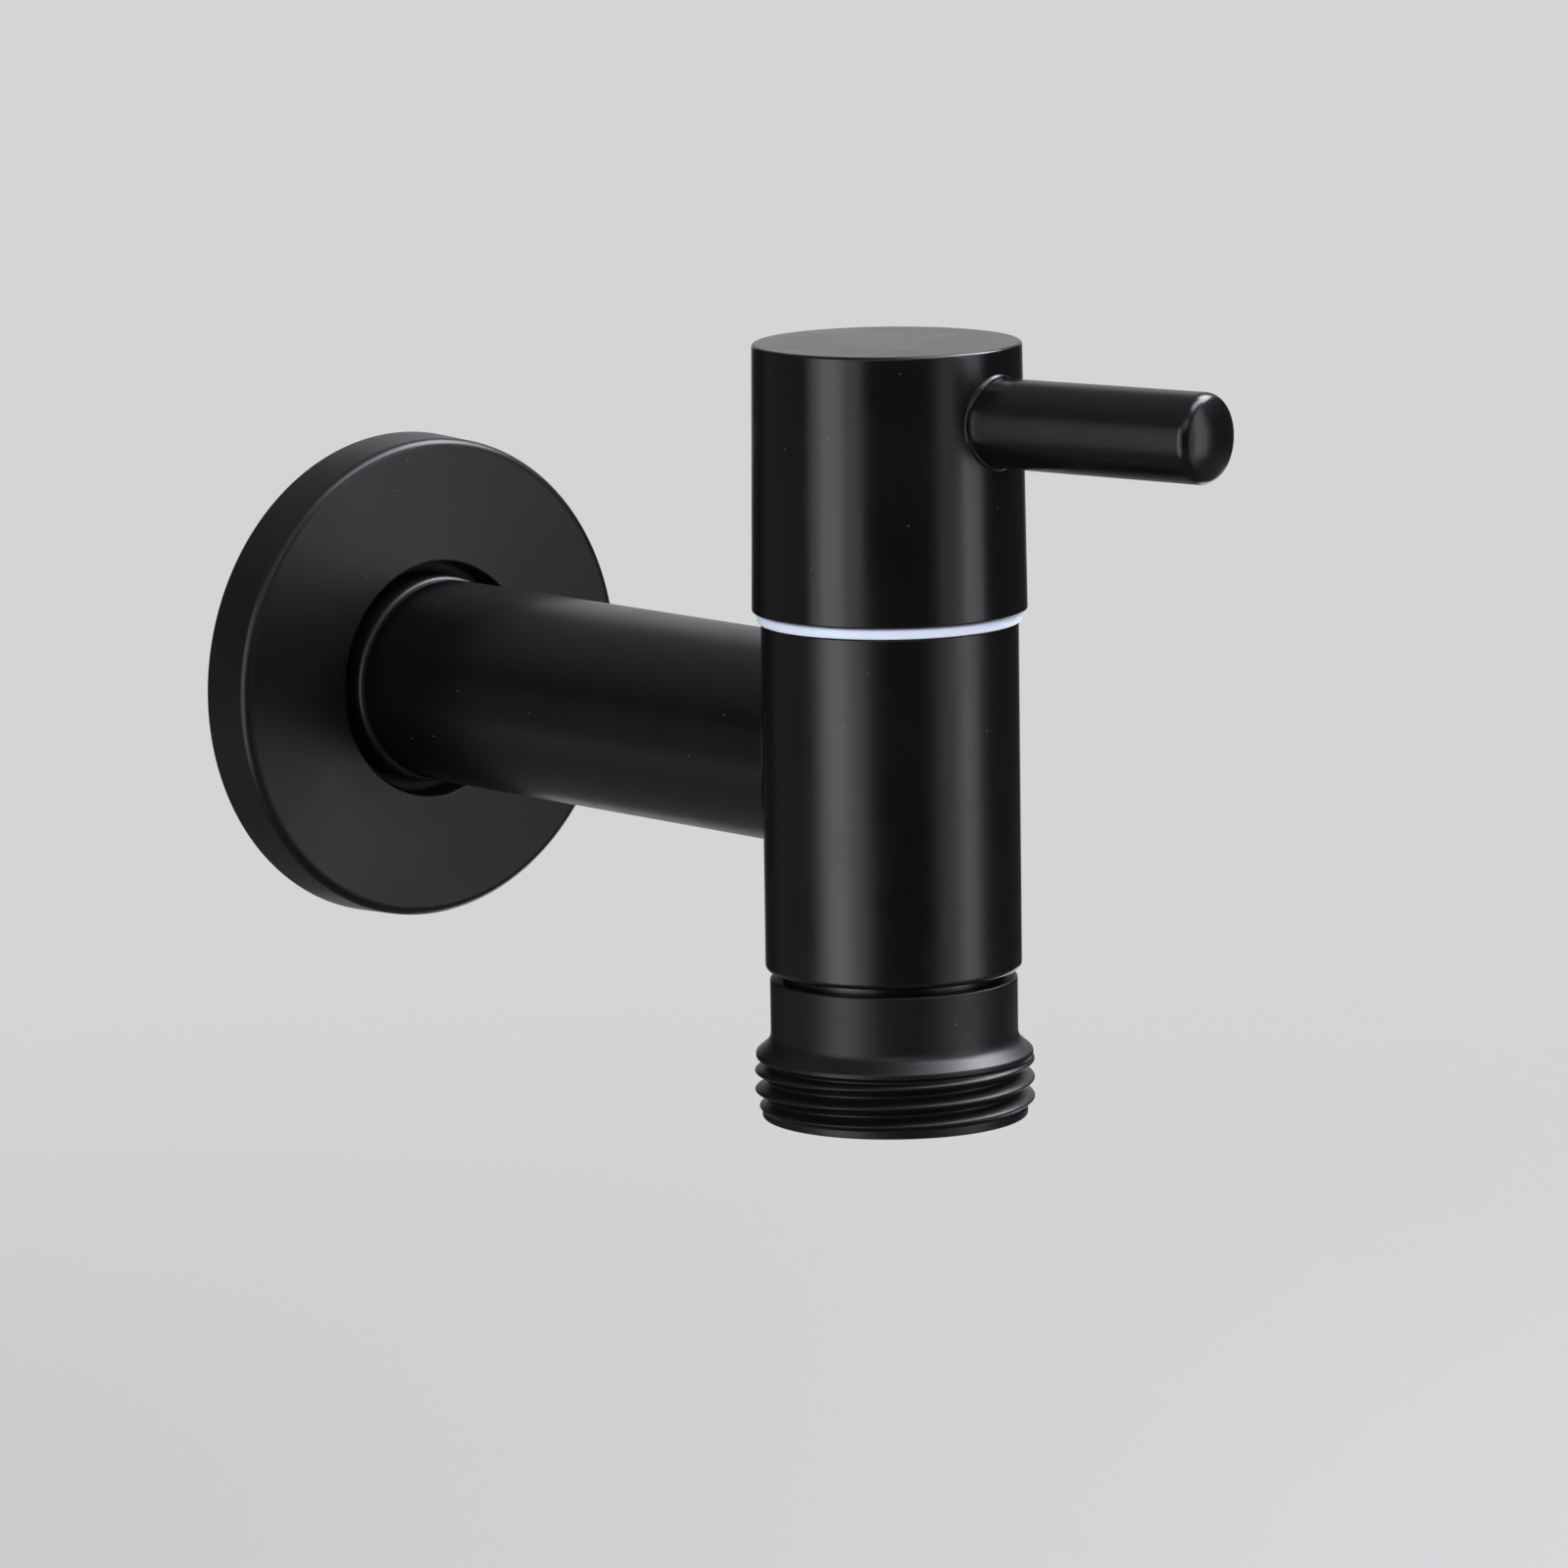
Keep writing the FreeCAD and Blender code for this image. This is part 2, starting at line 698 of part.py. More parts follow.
def spindle():
    """Brass spindle: ears in the moving disc, a collar, two seal grooves and a spline."""
    piece = Piece("spindle", clocked=True)
    foot = MOVING_DISC_TOP + " - slot_depth"
    shaft_top = SPLINE_TOP
    piece.turn(
        [
            ("0", MOVING_DISC_TOP + " + lap_gap"),
            ("foot_hub", MOVING_DISC_TOP + " + lap_gap"),
            ("foot_hub", COLLAR_FOOT),
            ("collar_radius", COLLAR_FOOT),
            ("collar_radius", COLLAR_TOP),
            ("spindle_radius", COLLAR_TOP),
            ("spindle_radius", SPLINE_FOOT),
            ("spline_root", SPLINE_FOOT),
            ("spline_root", shaft_top),
            ("0", shaft_top),
        ]
    )
    for middle in ("seal_low", "seal_high"):
        piece.turn(
            tube(
                "spindle_radius + running_gap - 2 * seal_section - lap_gap",
                "spindle_radius + cut_past",
                middle + " - seal_section - seal_side_gap",
                middle + " + seal_section + seal_side_gap",
            ),
            cut=True,
        )
    clip_foot = KEY_TOP + " + clip_lift"
    piece.turn(
        tube("clip_inner", "spindle_radius + cut_past", clip_foot, clip_foot + " + clip_height"), cut=True
    )
    ears = sector("(90 - turn_range / 2)", "ear_half", "ear_root", "ear_radius")
    drawn = piece.outline("XY_Plane", ears, foot + " + lap_gap")
    piece.repeat(piece.extrude(drawn, "foot_height - lap_gap"), "2")
    tooth = sector("0", "tooth_half", "spline_root - tooth_sink", "spindle_radius")
    drawn = piece.outline("XY_Plane", tooth, SPLINE_FOOT)
    piece.repeat(piece.extrude(drawn, "spline_length"), "spline_teeth")
    return piece


def spindle_seals():
    """Two rubber rings in the spindle's grooves, joined in one file as a set."""
    rings = []
    for middle in ("seal_low", "seal_high"):
        ring = DOC.addObject("Part::Torus", "SealRing")
        ring.setExpression("Radius1", bound("spindle_radius + running_gap - seal_section - lap_gap / 2"))
        ring.setExpression("Radius2", bound("seal_section"))
        ring.setExpression("Placement.Base.z", bound(middle))
        rings.append(ring)
    pair = DOC.addObject("Part::Compound", "spindle_seals")
    pair.Label = "spindle_seals"
    pair.Links = rings
    pair.setExpression("Placement.Base.y", bound("-reach"))
    DOC.recompute()
    return pair


def spindle_clip():
    """Open spring clip that keeps the spindle in the headwork."""
    piece = Piece("spindle_clip", clocked=True)
    foot = KEY_TOP + " + clip_lift"
    top = foot + " + clip_height"
    piece.turn(tube("clip_inner + lap_gap", "clip_outer", foot + " + lap_gap", top + " - lap_gap"))
    beyond = "(clip_outer + cut_past) / cos(clip_mouth * 1deg)"
    mouth = sector("-90", "clip_mouth", "clip_inner - cut_past", beyond)
    piece.extrude(piece.outline("XY_Plane", mouth, foot), "clip_height", cut=True)
    return piece


def indicator_ring():
    """Pale ring between the barrel and the cap."""
    piece = Piece("indicator_ring")
    piece.turn(tube("ring_inner", "ring_outer", "body_rise", "body_rise + ring_height"))
    for height in (size("body_rise"), size("body_rise") + size("ring_height")):
        piece.soften("Fillet", size("ring_outer"), height, "ring_round")
    return piece


def spline_insert():
    """Broached sleeve in the cap's boss, which slides on the spindle's spline."""
    piece = Piece("spline_insert", clocked=True)
    piece.turn(tube("spline_root + running_gap", "insert_radius", SPLINE_FOOT, SPLINE_TOP))
    space = sector("0", "tooth_half + tooth_gap", "spline_root - tooth_sink", "spindle_radius + running_gap")
    drawn = piece.outline("XY_Plane", space, SPLINE_FOOT)
    piece.repeat(piece.extrude(drawn, "spline_length", cut=True), "spline_teeth")
    return piece


def handle_cap():
    """Hollow cap with a boss for the insert and lugs for the lever and the screw."""
    piece = Piece("handle_cap", clocked=True)
    roof = CAP_TOP + " - cap_roof"
    piece.turn(
        [
            ("0", roof + " - lug_bite"),
            ("boss_radius", roof + " - lug_bite"),
            ("boss_radius", roof),
            ("cap_cavity", roof),
            ("cap_cavity", CAP_FOOT),
            ("cap_foot_radius", CAP_FOOT),
            ("cap_top_radius", CAP_TOP),
            ("0", CAP_TOP),
        ]
    )
    cap_foot = size("body_rise") + size("ring_height") + size("rim_gap")
    piece.soften("Fillet", size("cap_top_radius"), cap_foot + size("cap_height"), "cap_top_round")
    piece.soften("Chamfer", size("cap_foot_radius"), cap_foot, "cap_foot_bevel")
    piece.extrude(
        piece.circles("XY_Plane", [("0", "0")], "boss_radius", SPLINE_FOOT),
        CAP_TOP + " - cap_roof - (" + SPLINE_FOOT + ")",
    )
    lug_start = "boss_radius - lug_bite"
    lug_length = "cap_cavity - boss_radius + 2 * lug_bite"
    lever_lug = piece.circles("XZ_Plane", [("0", "lever_height")], "lever_lug", lug_start)
    piece.extrude(lever_lug, lug_length)
    grub_lug = piece.circles("XZ_Plane", [("0", "grub_height")], "grub_lug", "-(%s)" % lug_start)
    piece.extrude(grub_lug, lug_length, way=AGAINST)
    pocket = piece.circles("XY_Plane", [("0", "0")], "insert_radius + lap_gap", SPLINE_FOOT)
    piece.extrude(pocket, "spline_length + insert_room", cut=True)
    stud = piece.circles("XZ_Plane", [("0", "lever_height")], "stud_radius + screw_gap", STUD_HOLE_END)
    piece.extrude(stud, "cap_foot_radius", cut=True)
    recess = piece.circles("XZ_Plane", [("0", "lever_height")], "lever_root + lever_recess_gap", "lever_seat")
    piece.extrude(recess, "cap_foot_radius", cut=True)
    grub = piece.circles("XZ_Plane", [("0", "grub_height")], "grub_radius + screw_gap", "-insert_radius")
    piece.extrude(grub, "cap_foot_radius", cut=True, way=AGAINST)
    return piece


def lever():
    """Round lever that widens slightly to a domed, rounded end, on a threaded stud."""
    piece = Piece("lever", upright=False, clocked=True, height="lever_height")
    corners = [
        ("0", "-" + STUD_END),
        ("stud_radius", "-" + STUD_END),
        ("stud_radius", "-lever_seat"),
        ("lever_root", "-lever_seat"),
    ]
    # The dome falls with the square of the distance from the lever's axis
    drops = [share**2 - DOME_SHARES[-1] ** 2 for share in DOME_SHARES]
    for share, drop in zip(DOME_SHARES, drops):
        corners.append(("lever_tip * %s" % share, "-lever_end + lever_crown * %.5f" % drop))
    piece.turn(corners + [("0", "-lever_end")])
    rim = size("lever_crown") * drops[0] - size("lever_end")
    piece.soften("Fillet", size("lever_tip"), rim, "lever_end_round")
    piece.soften("Chamfer", size("lever_root"), -size("lever_seat"), "lever_root_bevel")
    return piece


def handle_screw():
    """Headless screw at the back of the cap, with a key socket and a blunt point."""
    piece = Piece("handle_screw", upright=False, clocked=True, height="grub_height")
    tip = "insert_radius + lap_gap"
    end = tip + " + grub_length"
    piece.turn(
        [
            ("0", tip),
            ("grub_radius - grub_point", tip),
            ("grub_radius", tip + " + grub_point"),
            ("grub_radius", end),
            ("0", end),
        ]
    )
    socket = piece.outline("XZ_Plane", hexagon("grub_key"), "-(%s) + grub_key_depth" % end)
    piece.extrude(socket, "grub_key_depth + cut_past", cut=True, way=AGAINST)
    return piece


def outlet_washer():
    """Flat rubber washer between the barrel's stub and the nozzle's ledge."""
    piece = Piece("outlet_washer")
    piece.turn(tube("washer_hole", "inlet_thread - washer_gap", LEDGE_TOP, STUB_FOOT))
    return piece


def outlet_nozzle():
    """Screwed on outlet: a neck, a flare and a pipe thread for a hose union."""
    piece = Piece("outlet_nozzle")
    land = "outlet_thread - land_drop"
    root = "outlet_thread - pipe_depth"
    socket = "inlet_thread + screw_gap"
    piece.turn(
        [
            (socket, NOZZLE_TOP),
            ("neck_radius", NOZZLE_TOP),
            ("neck_radius", FLARE_TOP),
            (land, LAND_TOP),
            (land, THREAD_TOP),
            (root, THREAD_TOP),
            (root, THREAD_FOOT),
            ("lip_radius", THREAD_FOOT),
            ("lip_radius", NOZZLE_FOOT),
            ("nozzle_pocket", NOZZLE_FOOT),
            ("nozzle_pocket", POCKET_TOP),
            ("ledge_bore", POCKET_TOP),
            ("ledge_bore", LEDGE_TOP),
            (socket, LEDGE_TOP),
        ]
    )
    flare = -size("body_drop") - size("nozzle_gap") - size("neck_length")
    piece.soften("Fillet", size("neck_radius"), flare, "flare_round")
    piece.soften("Chamfer", size("neck_radius"), flare + size("neck_length"), "neck_bevel")
    piece.thread(
        "outlet_thread",
        THREAD_FOOT + " - lip_height / 2",
        "outlet_thread_height + lip_height / 2 + flare_land / 4",
        size("outlet_thread_turn"),
    )
    below = NOZZLE_FOOT + " - 2 * cut_past"
    outside = "outlet_thread + cut_past"
    piece.turn(
        [
            ("nozzle_pocket", below),
            (outside, below),
            (outside, NOZZLE_FOOT + " + outlet_thread + cut_past - lip_radius + lip_bevel"),
            ("lip_radius - lip_bevel", NOZZLE_FOOT),
            ("nozzle_pocket", NOZZLE_FOOT),
        ],
        cut=True,
    )
    return piece


def drilled_disc(label, top, height, hole, step):
    """Round plate with a hexagonal grid of holes."""
    piece = Piece(label)
    foot = top + " - " + height
    piece.extrude(piece.circles("XY_Plane", [("0", "0")], "nozzle_pocket - screw_gap", foot), height)
    places = hole_grid(size(step), size("screen_field"), step)
    piece.extrude(piece.circles("XY_Plane", places, hole, foot), height, cut=True)
    return piece


def flow_straightener():
    """Plastic plate with wide holes that calm the water."""
    height, hole, step = "straightener_height", "straightener_hole", "straightener_step"
    return drilled_disc("flow_straightener", POCKET_TOP, height, hole, step)


def outlet_screen():
    """Thin steel screen below the straightener."""
    return drilled_disc("outlet_screen", SCREEN_TOP, "screen_height", "screen_hole", "screen_step")


def screen_retainer():
    """Snap ring that holds the screen and the straightener up."""
    piece = Piece("screen_retainer")
    piece.turn(
        tube("retainer_hole", "nozzle_pocket - lap_gap", RETAINER_TOP + " - retainer_height", RETAINER_TOP)
    )
    return piece


BUILDERS = (
    wall_flange,
    flange_grip_ring,
    inlet_nipple,
    arm_seal,
    arm_tube,
    tap_body,
    seat_washer,
    fixed_disc,
    moving_disc,
    cartridge_housing,
    cartridge_seal,
    thrust_washer,
    spindle,
    spindle_seals,
    spindle_clip,
    indicator_ring,
    spline_insert,
    handle_cap,
    lever,
    handle_screw,
    outlet_washer,
    outlet_nozzle,
    flow_straightener,
    outlet_screen,
    screen_retainer,
)


def check(pieces):
    """Stop if any object failed or any piece has no sound solid."""
    for item in DOC.Objects:
        if "Invalid" in item.State or "Error" in item.State:
            owners = ", ".join(owner.Label for owner in item.InList)
            raise RuntimeError("%s in %s failed: %s" % (item.Label, owners, item.State))
    for piece in pieces:
        if piece.Shape.isNull() or not piece.Shape.isValid() or not piece.Shape.Solids:
            raise RuntimeError("%s has no sound solid" % piece.Label)


def main():
    """Build every piece and write each to its own file."""
    fill_sheet()
    pieces = []
    for build in BUILDERS:
        made = build()
        pieces.append(made.body if isinstance(made, Piece) else made)
    DOC.recompute()
    check(pieces)
    os.makedirs("parts", exist_ok=True)
    for piece in pieces:
        piece.Shape.exportStep("parts/%s.step" % piece.Label)
        print("%-20s %2d solids %10.1f mm3" % (piece.Label, len(piece.Shape.Solids), piece.Shape.Volume))


main()
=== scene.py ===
"""Looks of a black wall mounted garden tap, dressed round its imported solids.

The wall is the plane Y = 0, the arm lies along Y and the barrel stands upright in front of the wall.
Sizes of the tap's pieces are in millimetres, as a maker writes them. Meshes and the studio are in
metres.
"""

import json
import logging
import math
from dataclasses import dataclass, replace
from enum import Enum
from typing import ClassVar, Self

import bmesh
import bpy
import numpy as np
from mathutils import Matrix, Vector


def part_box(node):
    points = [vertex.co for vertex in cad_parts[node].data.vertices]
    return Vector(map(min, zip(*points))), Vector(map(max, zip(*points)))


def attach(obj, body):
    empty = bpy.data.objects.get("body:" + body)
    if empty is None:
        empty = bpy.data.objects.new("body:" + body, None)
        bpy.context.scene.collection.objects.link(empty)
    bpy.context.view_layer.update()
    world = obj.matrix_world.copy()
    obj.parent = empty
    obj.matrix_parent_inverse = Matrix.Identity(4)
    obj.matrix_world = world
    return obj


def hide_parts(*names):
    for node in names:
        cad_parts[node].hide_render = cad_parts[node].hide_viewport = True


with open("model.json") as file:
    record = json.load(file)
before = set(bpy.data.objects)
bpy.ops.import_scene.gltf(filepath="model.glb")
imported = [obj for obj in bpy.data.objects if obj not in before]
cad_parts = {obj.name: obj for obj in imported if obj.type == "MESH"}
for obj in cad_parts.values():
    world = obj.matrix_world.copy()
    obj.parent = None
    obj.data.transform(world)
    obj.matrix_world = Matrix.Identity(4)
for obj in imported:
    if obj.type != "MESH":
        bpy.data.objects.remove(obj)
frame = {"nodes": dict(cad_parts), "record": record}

LOG = logging.getLogger("garden_tap")
MM = 0.001

Triple = tuple[float, float, float]


class Body(Enum):
    """The two bodies of the tap that pieces ride on."""

    FIXED = "body"
    HANDLE = "handle"


@dataclass(frozen=True)
class Axis:
    """A line that round pieces are turned about, with a start and two directions."""

    origin: Triple
    along: Triple
    side: Triple

    def place(self, across: np.ndarray, around: np.ndarray, rise: np.ndarray) -> np.ndarray:
        """Turn radius, angle and rise into points.

        A point is the origin, plus the rise along the axis, plus the radius times
        cos(angle) of the side direction and sin(angle) of the direction square to both.

        Args:
            across: radius of every point, in millimetres.
            around: angle of every point, in radians.
            rise: place of every point along the axis, in millimetres.

        Returns:
            The points in metres, with the coordinates in the last dimension.
        """
        along, side = np.array(self.along, float), np.array(self.side, float)
        third = np.cross(along, side)
        across, around, rise = (a[..., None] for a in np.broadcast_arrays(across, around, rise))
        spread = np.cos(around) * side + np.sin(around) * third
        return (np.array(self.origin) + rise * along + across * spread) * MM


def rounded(corners: list[Triple], steps: int = 6, hem: float = 0.04) -> np.ndarray:
    """Soften the corners of a closed outline with tangent arcs.

    Each corner of turn angle t and radius q is replaced by an arc whose ends lie q times
    tan(t / 2) before and behind it. A point a hem's width outside each end keeps the
    shading of the flat runs flat.

    Args:
        corners: (radius from the axis, rise, rounding radius) of each corner.
        steps: number of arc segments at each corner.
        hem: distance of the extra points from the arc's ends.

    Returns:
        The outline as an array of (radius, rise) rows, without doubled points.
    """
    data = np.array(corners, float)
    point, radius = data[:, :2], data[:, 2:3]
    before, after = point - np.roll(point, 1, axis=0), np.roll(point, -1, axis=0) - point
    length_in = np.linalg.norm(before, axis=1, keepdims=True)
    length_out = np.linalg.norm(after, axis=1, keepdims=True)
    inward, outward = before / length_in, after / length_out
    turn = np.arccos(np.clip((inward * outward).sum(1, keepdims=True), -1, 1))
    reach = radius * np.tan(turn / 2)
    start, end = point - inward * reach, point + outward * reach
    bisector = outward - inward
    bisector /= np.maximum(np.linalg.norm(bisector, axis=1, keepdims=True), 1e-9)
    centre = point + bisector * radius / np.cos(turn / 2)
    share = np.linspace(0, 1, steps + 1)[None, :, None]
    spread = np.maximum(np.sin(turn), 1e-9)[:, None, :]
    arc = (
        np.sin((1 - share) * turn[:, None, :]) * (start - centre)[:, None, :]
        + np.sin(share * turn[:, None, :]) * (end - centre)[:, None, :]
    ) / spread + centre[:, None, :]
    arc = np.where(radius[:, None, :] > 0, arc, point[:, None, :])
    room_in = np.minimum(hem, (length_in - reach) / 3)
    room_out = np.minimum(hem, (length_out - reach) / 3)
    before_arc, after_arc = start - inward * room_in, end + outward * room_out
    runs = np.concatenate([before_arc[:, None], arc, after_arc[:, None]], axis=1)
    outline = runs.reshape(-1, 2)
    step = np.linalg.norm(outline - np.roll(outline, 1, axis=0), axis=1)
    return outline[step > 1e-5]


def opened(outline: np.ndarray) -> np.ndarray:
    """Open a closed outline at its run along the axis, with a pole at each end.

    Args:
        outline: rows of (radius, rise) that start near the first pole.

    Returns:
        The open outline.
    """
    clear = outline[outline[:, 0] > 1e-6]
    poles = clear[[0, -1]] * np.array([0.0, 1.0])
    return np.concatenate([poles[:1], clear, poles[1:]])


def graded(outline: np.ndarray, levels: np.ndarray) -> np.ndarray:
    """Add points to an open outline wherever one of its runs passes a level.

    Args:
        outline: rows of (radius, rise).
        levels: the rises, from low to high.

    Returns:
        The outline with the added points.
    """
    rows = []
    for start, end in zip(outline[:-1], outline[1:]):
        low, high = min(start[1], end[1]), max(start[1], end[1])
        passed = levels[(levels > low + 1e-6) & (levels < high - 1e-6)]
        passed = passed if end[1] > start[1] else passed[::-1]
        share = (passed - start[1]) / (end[1] - start[1]) if passed.size else passed
        rows += [start[None], start + share[:, None] * (end - start)]
    return np.concatenate([*rows, outline[-1:]])


def grid_faces(rows: int, columns: int, closed: bool = True) -> np.ndarray:
    """List the quads of a grid whose columns close on themselves.

    Args:
        rows: number of rows of points.
        columns: number of points in each row.
        closed: whether the last row joins the first.

    Returns:
        Four point numbers per face, as (row, column, 4).
    """
    row = np.arange(rows if closed else rows - 1)[:, None]
    column = np.arange(columns)[None, :]
    next_row, next_column = (row + 1) % rows, (column + 1) % columns
    corners = (
        row * columns + column,
        row * columns + next_column,
        next_row * columns + next_column,
        next_row * columns + column,
    )
    return np.stack(np.broadcast_arrays(*corners), axis=-1)


@dataclass
class Sheet:
    """A grid of points whose columns close on themselves, and the faces kept of it."""

    points: np.ndarray
    closed: bool = True
    kept: np.ndarray | None = None

    def faces(self) -> np.ndarray:
        """List the kept faces, four point numbers each."""
        faces = grid_faces(*self.points.shape[:2], self.closed)
        return faces[self.kept] if self.kept is not None else faces.reshape(-1, 4)


class Bench:
    """Joins sheets of points into one closed piece and dresses it."""

    JOIN = 0.0004 * MM

    @classmethod
    def piece(
        cls, name: str, sheets: list[Sheet], material: bpy.types.Material, body: Body, slot: str, node: str
    ) -> None:
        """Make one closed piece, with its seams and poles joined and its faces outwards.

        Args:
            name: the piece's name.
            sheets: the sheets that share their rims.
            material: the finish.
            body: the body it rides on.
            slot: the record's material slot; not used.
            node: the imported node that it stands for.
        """
        points, faces, count = [], [], 0
        for sheet in sheets:
            points.append(sheet.points.reshape(-1, 3))
            faces.append(sheet.faces() + count)
            count += len(points[-1])
        mesh = bpy.data.meshes.new(name)
        mesh.from_pydata(np.concatenate(points), [], np.concatenate(faces))
        work = bmesh.new()
        work.from_mesh(mesh)
        bmesh.ops.remove_doubles(work, verts=work.verts, dist=cls.JOIN)
        bmesh.ops.recalc_face_normals(work, faces=work.faces)
        open_edges = sum(len(edge.link_faces) != 2 for edge in work.edges)
        work.to_mesh(mesh)
        work.free()
        mesh.polygons.foreach_set("use_smooth", np.ones(len(mesh.polygons), bool))
        mesh.materials.append(material)
        made = bpy.data.objects.new(name, mesh)
        bpy.context.scene.collection.objects.link(made)
        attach(made, body.value)
        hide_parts(node)
        LOG.info("%s: %d faces, %d open edges", name, len(mesh.polygons), open_edges)


class Nodes:
    """Short hand for a node tree."""

    def __init__(self, tree: bpy.types.NodeTree) -> None:
        """Start with an empty tree."""
        self.tree = tree
        self.tree.nodes.clear()

    def add(self, kind: str, **values: object) -> bpy.types.Node:
        """Add a node and set its sockets or properties by name.

        Args:
            kind: Blender's name for the node's type.
            values: a property's name, or a socket's name with underscores for spaces.

        Returns:
            The new node.
        """
        node = self.tree.nodes.new(kind)
        for key, value in values.items():
            socket = key.replace("_", " ")
            if socket in node.inputs:
                node.inputs[socket].default_value = value
            else:
                setattr(node, key, value)
        return node

    def join(
        self, source: bpy.types.Node, output: str | int, target: bpy.types.Node, socket: str | int
    ) -> None:
        """Link one socket to another."""
        self.tree.links.new(source.outputs[output], target.inputs[socket])

    def mixed(self, share: bpy.types.Node, output: str, *shaders: bpy.types.Node) -> bpy.types.Node:
        """Mix two shaders.

        Args:
            share: the node that says how much of the second there is.
            output: its socket.
            shaders: the first and the second shader.

        Returns:
            The mixing node.
        """
        made = self.add("ShaderNodeMixShader")
        self.join(share, output, made, "Fac")
        for place, shader in enumerate(shaders, start=1):
            self.join(shader, 0, made, place)
        return made


class FinishNodes(Nodes):
    """A material's node tree, with a surface shader, an output and the object's coordinates."""

    def __init__(self, name: str) -> None:
        """Start the material.

        Args:
            name: the material's name.
        """
        self.material = bpy.data.materials.new(name)
        self.material.use_nodes = True
        super().__init__(self.material.node_tree)
        self.shader = self.add("ShaderNodeBsdfPrincipled")
        self.output = self.add("ShaderNodeOutputMaterial")
        self.join(self.shader, "BSDF", self.output, "Surface")
        self.place = self.add("ShaderNodeTexCoord")

    def noise(self, scale: float, detail: float = 2.0, stretch: Triple = (1, 1, 1)) -> bpy.types.Node:
        """Add a noise on the object's coordinates.

        Args:
            scale: waves per metre.
            detail: octaves of finer noise.
            stretch: scale of the pattern along each axis.

        Returns:
            The noise node.
        """
        mapping = self.add("ShaderNodeMapping", Scale=stretch)
        made = self.add("ShaderNodeTexNoise", Scale=scale, Detail=detail)
        self.join(self.place, "Object", mapping, "Vector")
        self.join(mapping, "Vector", made, "Vector")
        return made

    def gloss(self, pattern: bpy.types.Node, middle: float, spread: float) -> None:
        """Drive the roughness from a pattern.

        Args:
            pattern: the noise.
            middle: the mean roughness.
            spread: how far it goes to both sides.
        """
        ends = {"From_Min": 0.3, "From_Max": 0.7, "To_Min": middle - spread, "To_Max": middle + spread}
        made = self.add("ShaderNodeMapRange", **ends)
        self.join(pattern, "Fac", made, "Value")
        self.join(made, "Result", self.shader, "Roughness")

    def colours(self, share: bpy.types.Node, output: str, low: Triple, high: Triple) -> bpy.types.Node:
        """Drive the base colour from a pattern.

        Args:
            share: the pattern's node.
            output: its socket.
            low: colour where the pattern is 0.
            high: colour where it is 1.

        Returns:
            The mixing node, linked to the shader.
        """
        made = self.add("ShaderNodeMix", data_type="RGBA")
        made.inputs["A"].default_value = (*low, 1)
        made.inputs["B"].default_value = (*high, 1)
        self.join(share, output, made, "Factor")
        self.join(made, "Result", self.shader, "Base Color")
        return made

    def relief(
        self, pattern: bpy.types.Node, height: float, under: bpy.types.Node | None = None
    ) -> bpy.types.Node:
        """Raise a fine relief from a pattern.

        Args:
            pattern: the noise.
            height: full height of the relief, in millimetres.
            under: a coarser relief below this one.

        Returns:
            The bump node, linked to the shader.
        """
        made = self.add("ShaderNodeBump", Strength=1.0, Distance=height * MM)
        self.join(pattern, "Fac", made, "Height")
        if under is not None:
            self.join(under, "Normal", made, "Normal")
        self.join(made, "Normal", self.shader, "Normal")
        return made


@dataclass(frozen=True)
class Coat:
    """Satin black coat: near black, with a fine orange peel and a few pale dust specks.

    The tone scales its two dark colours. The patterns' scales are in waves or cells per
    metre, and the peel and the grain are heights in millimetres.
    """

    name: str = "satin_black_coat"
    roughness: float = 0.29
    spread: float = 0.03
    specular: float = 0.5
    dark: Triple = (0.0026, 0.0026, 0.0030)
    light: Triple = (0.0044, 0.0044, 0.0050)
    tone: float = 1.0
    cloud_scale: float = 120.0
    speck: Triple = (0.08, 0.08, 0.085)
    speck_scale: float = 340.0
    speck_radius: float = 0.035
    peel: float = 0.0012
    peel_scale: float = 1100.0
    grain: float = 0.0003
    grain_scale: float = 5200.0

    def material(self) -> bpy.types.Material:
        """Build the finish.

        Returns:
            A material whose colour, gloss and relief follow noises on the object.
        """
        nodes = FinishNodes(self.name)
        nodes.shader.inputs["Specular IOR Level"].default_value = self.specular
        cloud = nodes.noise(self.cloud_scale, 3.0)
        nodes.gloss(cloud, self.roughness, self.spread)
        dark, light = (tuple(self.tone * share for share in tint) for tint in (self.dark, self.light))
        tone = nodes.colours(cloud, "Fac", dark, light)
        cells = nodes.add("ShaderNodeTexVoronoi", Scale=self.speck_scale, Randomness=1.0)
        nodes.join(nodes.place, "Object", cells, "Vector")
        near = nodes.add("ShaderNodeMapRange", From_Min=self.speck_radius, From_Max=0.6 * self.speck_radius)
        nodes.join(cells, "Distance", near, "Value")
        specks = nodes.colours(near, "Result", dark, self.speck)
        nodes.join(tone, "Result", specks, "A")
        coarse = nodes.relief(nodes.noise(self.peel_scale), self.peel)
        nodes.relief(nodes.noise(self.grain_scale), self.grain, coarse)
        return nodes.material


@dataclass(frozen=True)
class PalePlastic:
    """Smooth pale plastic, or ceramic, with a faint cloudiness."""

    name: str
    dark: Triple
    light: Triple
    roughness: float

    def material(self) -> bpy.types.Material:
        """Build the finish.

        Returns:
            A material with a soft variation of tone and gloss.
        """
        nodes = FinishNodes(self.name)
        nodes.shader.inputs["Specular IOR Level"].default_value = 0.45
        cloud = nodes.noise(160.0, 3.0)
        nodes.gloss(cloud, self.roughness, 0.05)
        nodes.colours(cloud, "Fac", self.dark, self.light)
        nodes.relief(nodes.noise(2400.0), 0.0006)
        return nodes.material


